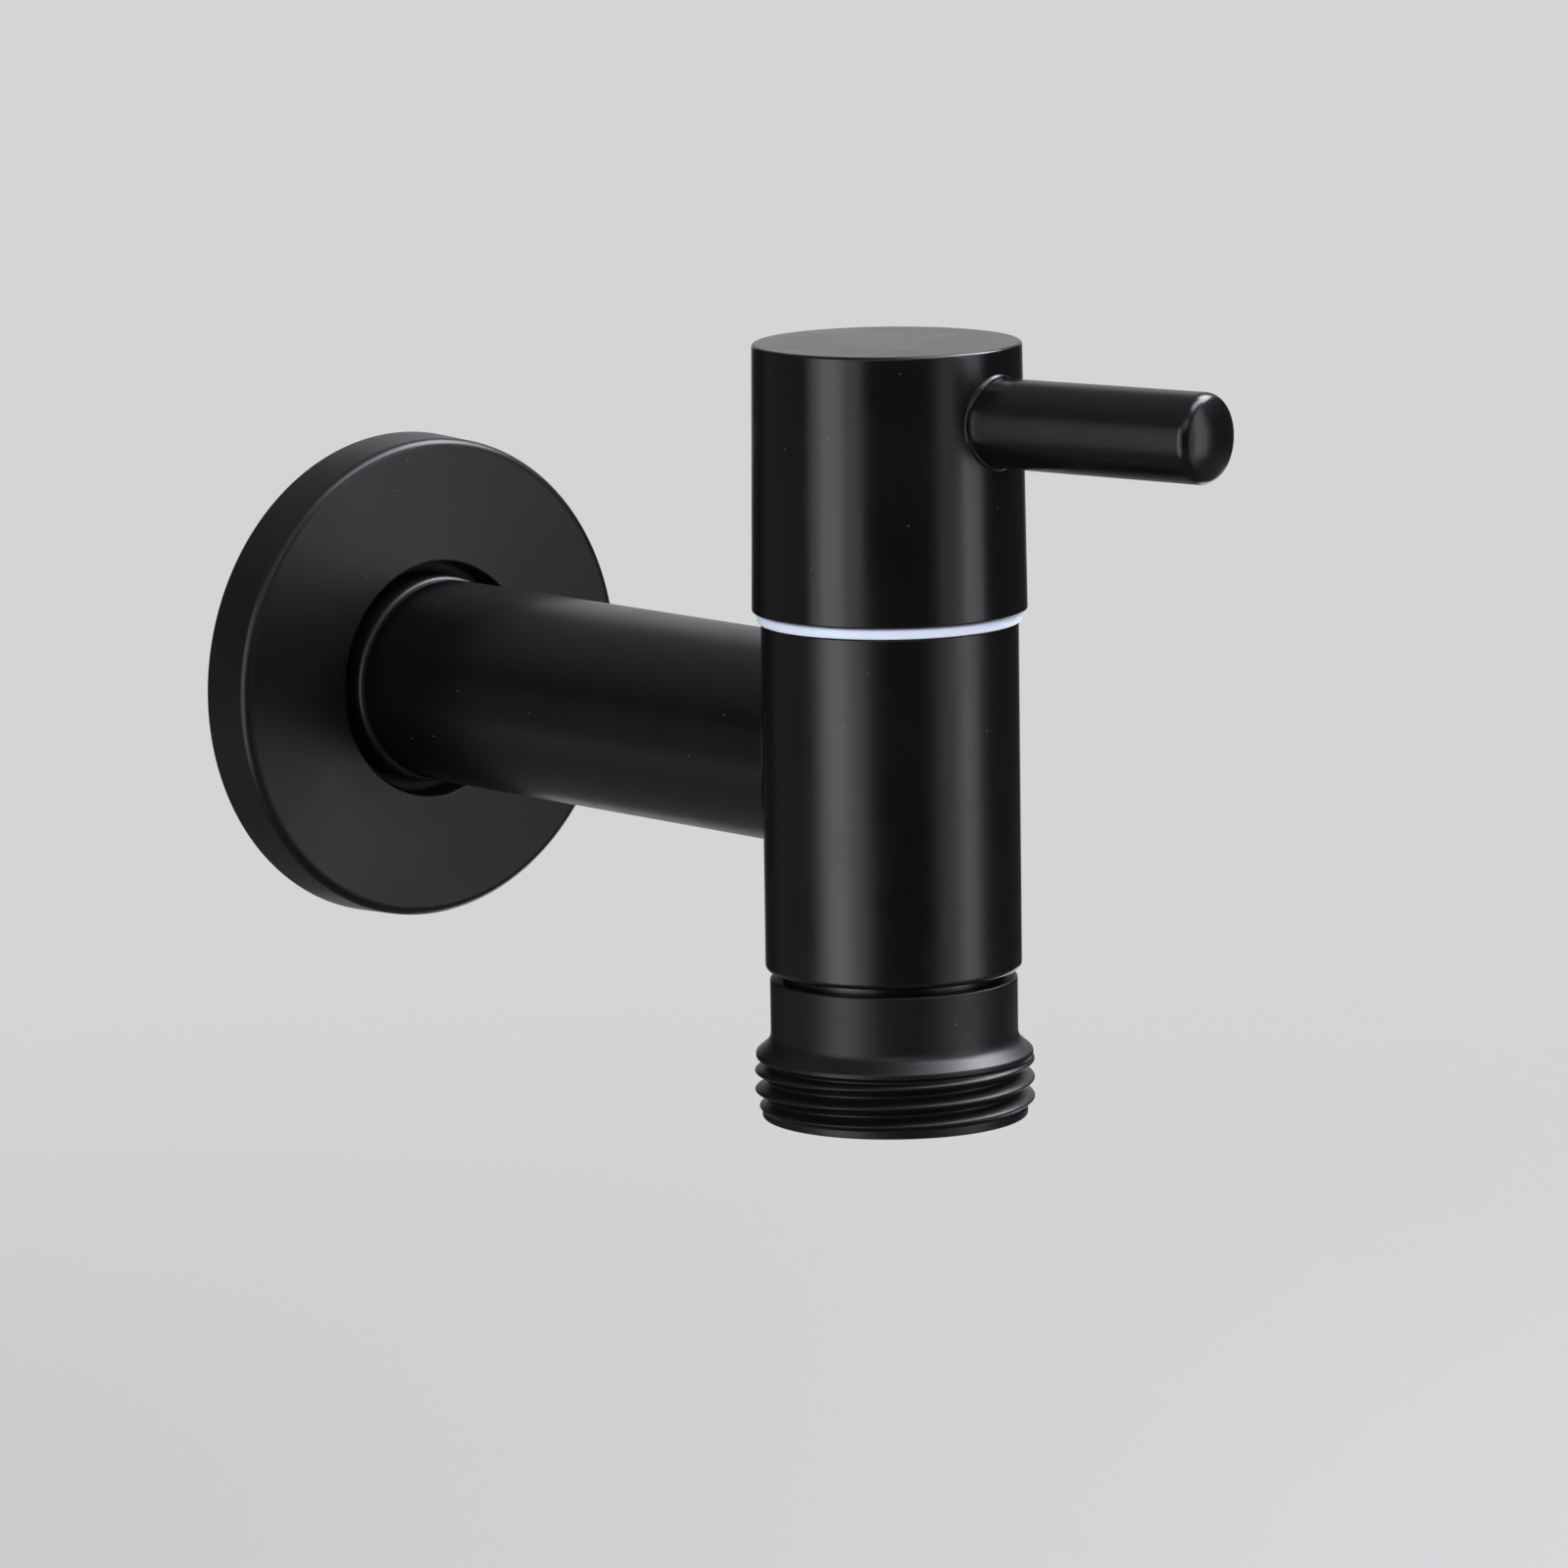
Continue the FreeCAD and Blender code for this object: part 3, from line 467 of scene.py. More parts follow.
@dataclass(frozen=True)
class TurnedMetal:
    """Bare metal with the fine rings that a lathe leaves round the upright axis."""

    name: str
    dark: Triple
    light: Triple
    roughness: float
    stretch: Triple = (0.02, 0.02, 1.0)

    def material(self) -> bpy.types.Material:
        """Build the finish.

        Returns:
            A metal whose tone, gloss and relief follow rings round the axis.
        """
        nodes = FinishNodes(self.name)
        nodes.shader.inputs["Metallic"].default_value = 1.0
        rings = nodes.noise(900.0, 3.0, self.stretch)
        cloud = nodes.noise(90.0, 3.0)
        nodes.gloss(rings, self.roughness, 0.07)
        nodes.colours(cloud, "Fac", self.dark, self.light)
        nodes.relief(rings, 0.0015)
        return nodes.material


@dataclass(frozen=True)
class Rubber:
    """Matt black rubber."""

    name: str = "seal_rubber"
    dark: Triple = (0.010, 0.010, 0.010)
    light: Triple = (0.022, 0.022, 0.022)

    def material(self) -> bpy.types.Material:
        """Build the finish.

        Returns:
            A dull dark material with a fine grain.
        """
        nodes = FinishNodes(self.name)
        grain = nodes.noise(3000.0, 3.0)
        nodes.gloss(grain, 0.71, 0.09)
        nodes.colours(grain, "Fac", self.dark, self.light)
        nodes.relief(grain, 0.003)
        return nodes.material


class Finishes:
    """Every finish on the tap, made once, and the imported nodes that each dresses."""

    def __init__(self) -> None:
        """Make the materials."""
        self.coat = Coat(tone=0.35).material()
        self.cap_coat = Coat("satin_black_cap", roughness=0.23, specular=0.4).material()
        self.lever_coat = Coat("satin_black_lever", roughness=0.23, specular=0.38).material()
        self.flange_coat = Coat("satin_black_flange", roughness=0.36, specular=0.37).material()
        self.nozzle_coat = Coat("satin_black_nozzle", roughness=0.40, specular=0.37).material()
        self.ring = PalePlastic("pale_ring_plastic", (0.72, 0.80, 0.98), (0.78, 0.85, 1.0), 0.35).material()
        self.nylon = PalePlastic("white_nylon", (0.72, 0.72, 0.69), (0.80, 0.80, 0.77), 0.5).material()
        self.ceramic = PalePlastic("lapped_ceramic", (0.78, 0.76, 0.71), (0.84, 0.82, 0.78), 0.22).material()
        self.brass = TurnedMetal("turned_brass", (0.62, 0.43, 0.17), (0.78, 0.58, 0.27), 0.27).material()
        self.steel = TurnedMetal("plain_steel", (0.50, 0.50, 0.51), (0.62, 0.62, 0.63), 0.3).material()
        self.rubber = Rubber().material()

    def dress(self) -> None:
        """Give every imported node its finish, by the record's material slots."""
        by_slot = {
            "black_coat": self.coat,
            "pale_ring": self.ring,
            "white_nylon": self.nylon,
            "ceramic": self.ceramic,
            "brass": self.brass,
            "steel": self.steel,
            "black_rubber": self.rubber,
        }
        slots = {part["node"]: part["material_slot"] for part in frame["record"]["subparts"]}
        for name, node in frame["nodes"].items():
            material = self.cap_coat if name == "handle_cap" else by_slot[slots[name]]
            node.data.materials.clear()
            node.data.materials.append(material)
        LOG.info("dressed %d packed nodes", len(frame["nodes"]))


def spun(outline: np.ndarray, columns: int) -> tuple[np.ndarray, np.ndarray, np.ndarray]:
    """Carry an outline round an axis.

    Args:
        outline: rows of (radius, rise).
        columns: number of points round the axis.

    Returns:
        Radius, angle and rise of every point, each as (rows, columns).
    """
    around = np.linspace(0, 2 * np.pi, columns, endpoint=False)[None, :]
    across, rise = outline[:, 0:1], outline[:, 1:2]
    return tuple(np.array(a) for a in np.broadcast_arrays(across, around, rise))


@dataclass
class Thread:
    """A pipe thread's rounded ridge, wound to the right between two plain lands.

    The lands' radii and the ends' rises go from low to high. The start is the rise of a
    crest at angle 0, and the fade is the length over which the ridge grows out of a land.
    """

    crest: float
    lands: tuple[float, float]
    ends: tuple[float, float]
    start: float = 0.0
    fade: float = 0.45
    pitch: float = 1.814
    depth: float = 1.162
    rounding: float = 0.55

    def radius(self, around: np.ndarray, rise: np.ndarray) -> np.ndarray:
        """Work out the radius of the thread at each point.

        The ridge is asin(k cos(phase)) / asin(k), which is a triangle wave with rounded
        crests and roots. The phase is one turn per pitch of rise, less the angle round the
        axis. Near both ends the wave blends into the lands below and above.

        Args:
            around: angle of each point, in radians.
            rise: place of each point along the axis.

        Returns:
            The radius of each point.
        """
        phase = 2 * np.pi * (rise - self.start) / self.pitch - around
        wave = np.arcsin(self.rounding * np.cos(phase)) / np.arcsin(self.rounding)
        ridge = self.crest - self.depth / 2 + wave * self.depth / 2
        low, high = self.ends
        land = np.where(rise < (low + high) / 2, *self.lands)
        share = np.clip(np.minimum(rise - low, high - rise) / self.fade, 0, 1)
        share = share * share * (3 - 2 * share)
        return land + (ridge - land) * share

    def wound(
        self, outline: np.ndarray, plain: tuple[int, int], rises: np.ndarray, columns: int
    ) -> tuple[np.ndarray, np.ndarray, np.ndarray]:
        """Carry an outline round its axis, with the thread between two of its points.

        Args:
            outline: rows of (radius, rise).
            plain: the last plain row before the thread, and the first one after it.
            rises: the rise of each row on the thread.
            columns: number of points round the axis.

        Returns:
            Radius, angle and rise of every point, each as (rows, columns).
        """
        dense = np.stack([np.full_like(rises, self.crest), rises], axis=1)
        outline = np.concatenate([outline[: plain[0] + 1], dense, outline[plain[1] :]])
        across, around, rise = spun(outline, columns)
        turns = slice(plain[0] + 1, plain[0] + 1 + len(dense))
        across[turns] = self.radius(around[turns], rise[turns])
        return across, around, rise


def lever_points() -> np.ndarray:
    """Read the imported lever's mesh.

    Returns:
        Its points, measured from the barrel's axis, in metres.
    """
    low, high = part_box("indicator_ring")
    mesh = frame["nodes"]["lever"].data
    points = np.zeros(len(mesh.vertices) * 3)
    mesh.vertices.foreach_get("co", points)
    return points.reshape(-1, 3) - np.array([0, (low.y + high.y) / 2, 0])


def lever_heading() -> Triple:
    """Find the level direction of the closed lever.

    The lever is straight and points at the barrel's axis, so the middle of its far half
    lies on its own line. Its swing from straight out of the wall is corrected until that
    middle has no offset.

    Returns:
        The direction, with a length of 1.
    """
    points = lever_points()
    swing = 0.0
    for _ in range(6):
        forward = points @ np.array([math.sin(swing), -math.cos(swing), 0.0])
        offset = points @ np.array([math.cos(swing), math.sin(swing), 0.0])
        far = forward > 0.5 * forward.max()
        swing += math.atan2((offset[far].max() + offset[far].min()) / 2, forward[far].mean())
    return math.sin(swing), -math.cos(swing), 0.0


@dataclass
class WallEnd:
    """What lies at the wall: the thin round flange and the threaded inlet behind it."""

    axis: Axis
    front: float
    back: float
    depth: float
    nipple_front: float
    nipple_back: float
    taper: float = 0.25
    crown: float = 0.6
    wall: float = 1.1
    hole: float = 11.6
    edge_round: float = 0.95
    collar_wall: float = 1.5
    collar_depth: float = 5.0
    shoulder: float = 10.24
    shoulder_front: float = 6.9
    shoulder_round: float = 0.6
    gripped: float = 10.285
    grip_front: float = 3.1
    grip_slope: float = 0.06
    thread_crest: float = 10.4775
    thread_start: float = 0.2
    thread_rows: int = 170
    margin: float = 0.05
    run_in: float = 0.5
    run_out: float = 0.4
    land_drop: float = 0.12
    bevel: float = 0.3
    waterway: float = 5.0
    stub: float = 7.95
    columns: int = 288

    @classmethod
    def from_frame(cls) -> Self:
        """Read the flange's and the nipple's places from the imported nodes.

        Returns:
            The wall end.
        """
        low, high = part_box("wall_flange")
        nipple_low, nipple_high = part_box("inlet_nipple")
        back = (high.x - low.x) / 2 / MM
        return cls(
            axis=Axis((0, 0, 0), (0, 1, 0), (0, 0, 1)),
            front=back - cls.taper,
            back=back,
            depth=-low.y / MM,
            nipple_front=nipple_low.y / MM,
            nipple_back=nipple_high.y / MM,
        )

    def flange(self, material: bpy.types.Material) -> None:
        """Make the flange: a shallow cone with a rounded rim, hollow behind, with a collar.

        Args:
            material: its finish.
        """
        face = self.crown - self.depth
        collar = self.hole + self.collar_wall
        slope = self.crown * (self.front - collar) / (self.front - self.hole)
        outline = rounded(
            [
                (self.hole, -self.depth, 0.3),
                (self.front, face, self.edge_round),
                (self.back, 0, 0.12),
                (self.back - self.wall, 0, 0.12),
                (self.front - self.wall, face + self.wall, 0.5),
                (collar, face + self.wall - slope, 0.4),
                (collar, self.collar_depth - self.depth, 0.15),
                (self.hole, self.collar_depth - self.depth, 0.15),
            ],
            steps=8,
        )
        sheet = Sheet(self.axis.place(*spun(outline, self.columns)))
        Bench.piece("flange_cover", [sheet], material, Body.FIXED, "black_coat", "wall_flange")

    def nipple(self, material: bpy.types.Material) -> None:
        """Make the inlet nipple, with the thread that the wall takes up.

        Its shoulder fills the rubber ring in the flange, so that no light comes through.

        Args:
            material: its finish.
        """
        start, end = self.thread_start, self.nipple_back
        land = self.thread_crest - self.land_drop
        outline = rounded(
            [
                (self.waterway, self.nipple_front, 0.1),
                (self.stub, self.nipple_front, 0.15),
                (self.stub, -self.shoulder_front, 0.0),
                (self.shoulder, -self.shoulder_front, self.shoulder_round),
                (self.shoulder, -self.grip_front, 0.0),
                (self.gripped, self.grip_slope - self.grip_front, 0.0),
                (self.gripped, start, 0.0),
                (land, start, 0.0),
                (land, end, self.bevel),
                (self.waterway, end, self.bevel),
            ]
        )
        on_land = np.flatnonzero(np.abs(outline[:, 0] - land) < 1e-6)
        near_start = outline[on_land, 1] < start + self.run_in
        plain = on_land[near_start][-1], on_land[~near_start][0]
        rises = np.linspace(start + self.margin, end - self.bevel - self.margin, self.thread_rows)
        thread = Thread(self.thread_crest, (land, land), (start + self.run_in, end - self.run_out))
        sheet = Sheet(self.axis.place(*thread.wound(outline, plain, rises, self.columns)))
        Bench.piece("inlet_pipe", [sheet], material, Body.FIXED, "black_coat", "inlet_nipple")


@dataclass
class Arm:
    """The level tube, saddle cut where it meets the barrel."""

    axis: Axis
    radius: float
    mouth: float
    reach: float
    barrel: float
    bore: float = 5.0
    socket: float = 8.0
    socket_depth: float = 10.0
    saddle_round: float = 0.22
    mouth_round: float = 0.75
    columns: int = 288

    @classmethod
    def from_frame(cls) -> Self:
        """Read the arm's radius and ends, and the barrel's place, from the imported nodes.

        Returns:
            The arm.
        """
        low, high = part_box("arm_tube")
        ring_low, ring_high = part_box("indicator_ring")
        body_low, body_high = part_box("tap_body")
        return cls(
            axis=Axis((0, 0, 0), (0, 1, 0), (0, 0, 1)),
            radius=(high.z - low.z) / 2 / MM,
            mouth=high.y / MM,
            reach=-(ring_low.y + ring_high.y) / 2 / MM,
            barrel=(body_high.x - body_low.x) / 2 / MM,
        )

    def saddle(self, across: np.ndarray, around: np.ndarray) -> np.ndarray:
        """Find the barrel's wall: the root of its radius squared less x squared, off its axis."""
        sideways = across * np.sin(around)
        return -self.reach + np.sqrt(self.barrel**2 - sideways**2)

    def tube(self, material: bpy.types.Material) -> None:
        """Make the tube, whose far rows follow the saddle.

        Args:
            material: its finish.
        """
        nearest = self.barrel - self.reach
        outline = rounded(
            [
                (self.bore, nearest, 0.0),
                (self.radius, nearest, self.saddle_round),
                (self.radius, self.mouth, self.mouth_round),
                (self.socket, self.mouth, 0.1),
                (self.socket, self.mouth - self.socket_depth, 0.0),
                (self.bore, self.mouth - self.socket_depth, 0.0),
            ]
        )
        across, around, rise = spun(outline, self.columns)
        share = np.clip((self.mouth - 2 * self.socket_depth - rise) / self.socket_depth, 0, 1)
        rise = rise + share * (self.saddle(across, around) - nearest)
        sheet = Sheet(self.axis.place(across, around, rise))
        Bench.piece("arm_pipe", [sheet], material, Body.FIXED, "black_coat", "arm_tube")


@dataclass
class Upright:
    """A piece that is round about the barrel's upright axis."""

    NODE: ClassVar[str]

    axis: Axis
    foot: float
    top: float
    outer: float

    @classmethod
    def from_frame(cls) -> Self:
        """Read the axis, both ends and the radius from the piece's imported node.

        Returns:
            The piece.
        """
        low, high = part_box(cls.NODE)
        return cls(
            axis=Axis((0, (low.y + high.y) / 2 / MM, 0), (0, 0, 1), (1, 0, 0)),
            foot=low.z / MM,
            top=high.z / MM,
            outer=(high.x - low.x) / 2 / MM,
        )


@dataclass
class Ring(Upright):
    """The pale ring that is clamped between the barrel and the cap."""

    NODE: ClassVar[str] = "indicator_ring"

    inner: float = 10.05
    edge_round: float = 0.28
    columns: int = 288

    def band(self, material: bpy.types.Material) -> None:
        """Make the ring with soft outer edges.

        Args:
            material: its finish.
        """
        outline = rounded(
            [
                (self.inner, self.foot, 0.1),
                (self.outer, self.foot, self.edge_round),
                (self.outer, self.top, self.edge_round),
                (self.inner, self.top, 0.1),
            ]
        )
        sheet = Sheet(self.axis.place(*spun(outline, self.columns)))
        Bench.piece("accent_ring", [sheet], material, Body.FIXED, "pale_ring", self.NODE)


@dataclass
class Barrel(Upright):
    """The upright barrel, with the chamber of the cartridge above and a stub below."""

    NODE: ClassVar[str] = "tap_body"

    stub: float = 10.4775
    stub_length: float = 5.5
    foot_round: float = 0.6
    top_round: float = 0.25
    rim: float = 11.05
    rim_depth: float = 1.5
    thread: float = 10.5275
    thread_length: float = 6.8
    chamber: float = 9.9
    chamber_foot: float = -7.0
    pocket: float = 8.75
    seat: float = -9.6
    seat_bore: float = 4.6
    seat_floor: float = 2.4
    bore: float = 7.0
    columns: int = 288

    def shell(self, material: bpy.types.Material) -> None:
        """Make the barrel. Its side port lies behind the arm's saddle and is left closed.

        Args:
            material: its finish.
        """
        shoulder = self.foot + self.stub_length
        thread_top = self.top - self.rim_depth
        outline = rounded(
            [
                (self.bore, self.foot, 0.2),
                (self.stub, self.foot, 0.3),
                (self.stub, shoulder, 0.1),
                (self.outer, shoulder, self.foot_round),
                (self.outer, self.top, self.top_round),
                (self.rim, self.top, 0.1),
                (self.rim, thread_top, 0.1),
                (self.thread, thread_top, 0.1),
                (self.thread, thread_top - self.thread_length, 0.1),
                (self.chamber, thread_top - self.thread_length, 0.1),
                (self.chamber, self.chamber_foot, 0.1),
                (self.pocket, self.chamber_foot, 0.1),
                (self.pocket, self.seat, 0.1),
                (self.seat_bore, self.seat, 0.2),
                (self.seat_bore, self.seat - self.seat_floor, 0.2),
                (self.bore, self.seat - self.seat_floor, 0.1),
            ]
        )
        sheet = Sheet(self.axis.place(*spun(outline, self.columns)))
        Bench.piece("barrel_shell", [sheet], material, Body.FIXED, "black_coat", self.NODE)


@dataclass
class Hole:
    """A round hole in the wall of the cap.

    Its middle is at a column of the wall's grid and at a height. Its window reaches
    half_columns and half_height to each side. Its edge is rounded by the lip, or carries a
    bead of that size where it is raised.
    """

    column: int
    height: float
    radius: float
    lip: float
    half_columns: int
    half_height: float
    raised: bool = False


@dataclass
class Cap(Upright):
    """The hollow handle cap, with the lever's recess in front and the screw's hole behind."""

    NODE: ClassVar[str] = "handle_cap"

    top_radius: float = 12.65
    top_round: float = 0.35
    foot_round: float = 0.2
    cavity: float = 10.4
    ceiling: float = 28.95
    lever_root: float = 4.18
    recess_gap: float = 0.03
    bead: float = 0.3
    recess_floor: float = 11.5
    stud_hole: float = 2.55
    stud_end: float = 3.0
    screw_height: float = 23.6
    screw_hole: float = 2.05
    screw_lip: float = 0.12
    hem: float = 0.04
    columns: int = 288

    @classmethod
    def from_frame(cls) -> Self:
        """Read the cap's place, and turn its first column towards the lever.

        Returns:
            The cap.
        """
        cap = super().from_frame()
        cap.axis = replace(cap.axis, side=lever_heading())
        return cap

    def wall(self, rise: np.ndarray) -> np.ndarray:
        """Find the radius of the slightly tapered outer wall at a height."""
        share = (rise - self.foot) / (self.top - self.foot)
        return self.outer + (self.top_radius - self.outer) * share

    def facing(self, hole: Hole) -> np.ndarray:
        """Find a hole's own directions.

        Args:
            hole: the hole.

        Returns:
            Its side, outward and upward directions, as rows.
        """
        turn = 2 * math.pi * hole.column / self.columns
        side, third = np.array(self.axis.side), np.cross(self.axis.along, self.axis.side)
        level = math.cos(turn) * third - math.sin(turn) * side
        outward = math.cos(turn) * side + math.sin(turn) * third
        return np.stack([level, outward, np.array(self.axis.along, float)])

    def placed(self, hole: Hole, local: np.ndarray) -> np.ndarray:
        """Turn side, outward and height along a hole's axis into points in metres."""
        return (local @ self.facing(hole) + np.array(self.axis.origin)) * MM

    def rim(
        self, hole: Hole, grid: np.ndarray, profile: np.ndarray, outer: bool
    ) -> tuple[np.ndarray, np.ndarray]:
        """Open a window round a hole in the wall's grid.

        Args:
            hole: the hole.
            grid: the wall's points.
            profile: (radius, rise) of the grid's rows.
            outer: whether the outer wall is opened, or the cavity's.

        Returns:
            The window's rim, as (points, 3), and the faces inside it, as a mask.
        """
        side = (profile[:, 0] > (self.cavity + self.top_radius) / 2) == outer
        inside = side & (np.abs(profile[:, 1] - hole.height) < hole.half_height + 1e-4)
        rows = np.flatnonzero(inside)
        columns = (hole.column + np.arange(-hole.half_columns, hole.half_columns + 1)) % self.columns
        faces = np.zeros((len(profile) - 1, self.columns), bool)
        faces[np.ix_(rows[:-1], columns[:-1])] = True
        rows = rows if outer else rows[::-1]
        rim = np.concatenate(
            [
                grid[rows[0], columns[:-1]],
                grid[rows[:-1], columns[-1]],
                grid[rows[-1], columns[:0:-1]],
                grid[rows[:0:-1], columns[0]],
            ]
        )
        return rim, faces

    def mouth(self, hole: Hole, rim: np.ndarray, outer: bool, rings: int = 9, steps: int = 6) -> np.ndarray:
        """Fill the stretch from a window's rim to its hole, and round the hole's edge.

        Each ring lies between the rim and a circle round the hole, on the wall. With a
        from 0 to a right angle, the depth of a rounded edge is the lip times 1 - cos(a),
        and its width the lip times 1 - sin(a). A raised bead is cos(a) of the lip wide
        and stands sin(a) of it out of the wall.

        Args:
            hole: the hole.
            rim: the window's rim, in metres.
            outer: whether the hole is seen from outside, or from the cavity.
            rings: number of rings on the wall.
            steps: number of rings on the rounding.

        Returns:
            Side, outward and height of every point along the hole's axis, in millimetres.
        """
        local = rim / MM - np.array(self.axis.origin)
        start = np.stack([local @ self.facing(hole)[0], local[:, 2] - hole.height], axis=1)
        bearing = np.arctan2(start[:, 1], start[:, 0])
        circle = np.stack([np.cos(bearing), np.sin(bearing)], axis=1)
        share = (1 - (1 - np.linspace(0, 1, rings)) ** 1.6)[:, None, None]
        flat = start + share * ((hole.radius + hole.lip) * circle - start)
        angle = np.linspace(0, math.pi / 2, steps + 1)[1:]
        if hole.raised:
            width, sunk = np.cos(angle), -np.sin(angle)
        else:
            width, sunk = 1 - np.sin(angle), 1 - np.cos(angle)
        lip = (hole.radius + hole.lip * width)[:, None, None] * circle
        plan = np.concatenate([flat, lip])
        depth = np.concatenate([np.zeros(rings), hole.lip * sunk])[:, None]
        height = plan[..., 1] + hole.height
        wall = self.wall(height) if outer else self.cavity
        reach = np.sqrt(wall**2 - plan[..., 0] ** 2) - (depth if outer else -depth)
        return np.stack([plan[..., 0], reach, height], axis=-1)

    def recess(self, hole: Hole, mouth: np.ndarray) -> np.ndarray:
        """Sink the lever's recess and the stud's hole behind it.

        Each ring is a circle round the hole's axis, at one radius and one reach.

        Args:
            hole: the recess in the wall.
            mouth: the rings up to its edge, as side, outward and height.

        Returns:
            The mouth with the further rings.
        """
        circle = (mouth[-1] - np.array([0.0, 0.0, hole.height]))[:, [0, 2]] / hole.radius
        stops = (
            (hole.radius, self.recess_floor + self.hem),
            (hole.radius, self.recess_floor),
            (hole.radius - self.hem, self.recess_floor),
            (self.stud_hole + self.hem, self.recess_floor),
            (self.stud_hole, self.recess_floor),
            (self.stud_hole, self.recess_floor - self.hem),
            (self.stud_hole, self.stud_end),
            (0.0, self.stud_end),
        )
        radius, reach = (np.array(values)[:, None] for values in zip(*stops))
        level, height = radius * circle[:, 0], radius * circle[:, 1] + hole.height
        return np.concatenate([mouth, np.stack(np.broadcast_arrays(level, reach, height), axis=-1)])

    def shell(self, material: bpy.types.Material) -> None:
        """Make the cap: a turned wall whose windows are filled round the two holes.

        Args:
            material: its finish.
        """
        low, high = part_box("lever")
        pitch = 2 * math.pi * self.top_radius / self.columns
        lever_rows, screw_rows = 19, 11
        lever = Hole(
            column=0,
            height=(low.z + high.z) / 2 / MM,
            radius=self.lever_root + self.recess_gap,
            lip=self.bead,
            half_columns=lever_rows + 1,
            half_height=lever_rows * pitch,
            raised=True,
        )
        screw = Hole(
            column=self.columns // 2,
            height=self.screw_height,
            radius=self.screw_hole,
            lip=self.screw_lip,
            half_columns=screw_rows,
            half_height=screw_rows * pitch,
        )
        levels = np.concatenate(
            [
                np.linspace(self.foot + 0.5, screw.height - screw.half_height, 10)[:-1],
                screw.height + np.linspace(-1, 1, 2 * screw_rows + 1) * screw.half_height,
                lever.height + np.linspace(-1, 1, 2 * lever_rows + 1) * lever.half_height,
                np.linspace(lever.height + lever.half_height, self.top - 0.6, 5)[1:],
            ]
        )
        outline = rounded(
            [
                (0, self.ceiling, 0.0),
                (self.cavity, self.ceiling, 0.3),
                (self.cavity, self.foot, 0.1),
                (self.outer, self.foot, self.foot_round),
                (self.top_radius, self.top, self.top_round),
                (0, self.top, 0.0),
            ]
        )
        profile = graded(opened(outline), levels)
        grid = self.axis.place(*spun(profile, self.columns))
        kept = np.ones((len(profile) - 1, self.columns), bool)

        def window(hole: Hole, outer: bool) -> np.ndarray:
            """Open the wall at a hole and fill the window up to the hole's edge.

            Args:
                hole: the hole.
                outer: whether it is seen from outside, or from the cavity.

            Returns:
                The window's rings, as side, outward and height.
            """
            rim, gone = self.rim(hole, grid, profile, outer)
            kept[gone] = False
            return self.mouth(hole, rim, outer)

        recess = self.recess(lever, window(lever, outer=True))
        passage = np.concatenate([window(screw, outer=True), window(screw, outer=False)[::-1]])
        sheets = [
            Sheet(self.placed(lever, recess), closed=False),
            Sheet(self.placed(screw, passage), closed=False),
            Sheet(grid, closed=False, kept=kept),
        ]
        Bench.piece("cap_shell", sheets, material, Body.HANDLE, "black_coat", self.NODE)


@dataclass
class Lever:
    """The pin lever, clocked round the barrel's axis in its closed place."""

    axis: Axis
    tip: float
    end: float
    seat: float = 11.8
    root: float = 4.18
    root_round: float = 0.2
    end_round: float = 1.2
    crown: float = 1.2
    crown_round: float = 5.8
    crown_rings: tuple[float, ...] = (0.75, 0.6, 0.45, 0.3, 0.15)
    stud: float = 2.5
    stud_end: float = 3.5
    columns: int = 192

    @classmethod
    def from_frame(cls) -> Self:
        """Read the lever's line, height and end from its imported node.

        Returns:
            The lever.
        """
        low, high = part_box("lever")
        ring_low, ring_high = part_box("indicator_ring")
        start = (0, (ring_low.y + ring_high.y) / 2 / MM, (low.z + high.z) / 2 / MM)
        heading = lever_heading()
        return cls(
            axis=Axis(start, heading, (0, 0, 1)),
            tip=(high.z - low.z) / 2 / MM,
            end=(lever_points() @ np.array(heading)).max() / MM,
        )

    def bar(self, material: bpy.types.Material) -> None:
        """Make the bar, its domed end and the stud that screws into the cap.

        The dome falls by the crown times the square of the distance from the axis, and its
        rings are rounded into one smooth curve.

        Args:
            material: its finish.
        """
        middle = self.crown_rings[-1] ** 2
        falls = [(share, self.end - self.crown * (share * share - middle)) for share in self.crown_rings]
        dome = [(self.tip * share, fall, self.crown_round) for share, fall in falls]
        outline = rounded(
            [
                (0, self.stud_end, 0.0),
                (self.stud, self.stud_end, 0.3),
                (self.stud, self.seat, 0.0),
                (self.root, self.seat, self.root_round),
                (self.tip, self.end - self.crown * (1 - middle), self.end_round),
                *dome,
                (0, self.end, 0.0),
            ],
            steps=12,
        )
        sheet = Sheet(self.axis.place(*spun(opened(outline), self.columns)), closed=False)
        Bench.piece("lever_bar", [sheet], material, Body.HANDLE, "black_coat", "lever")


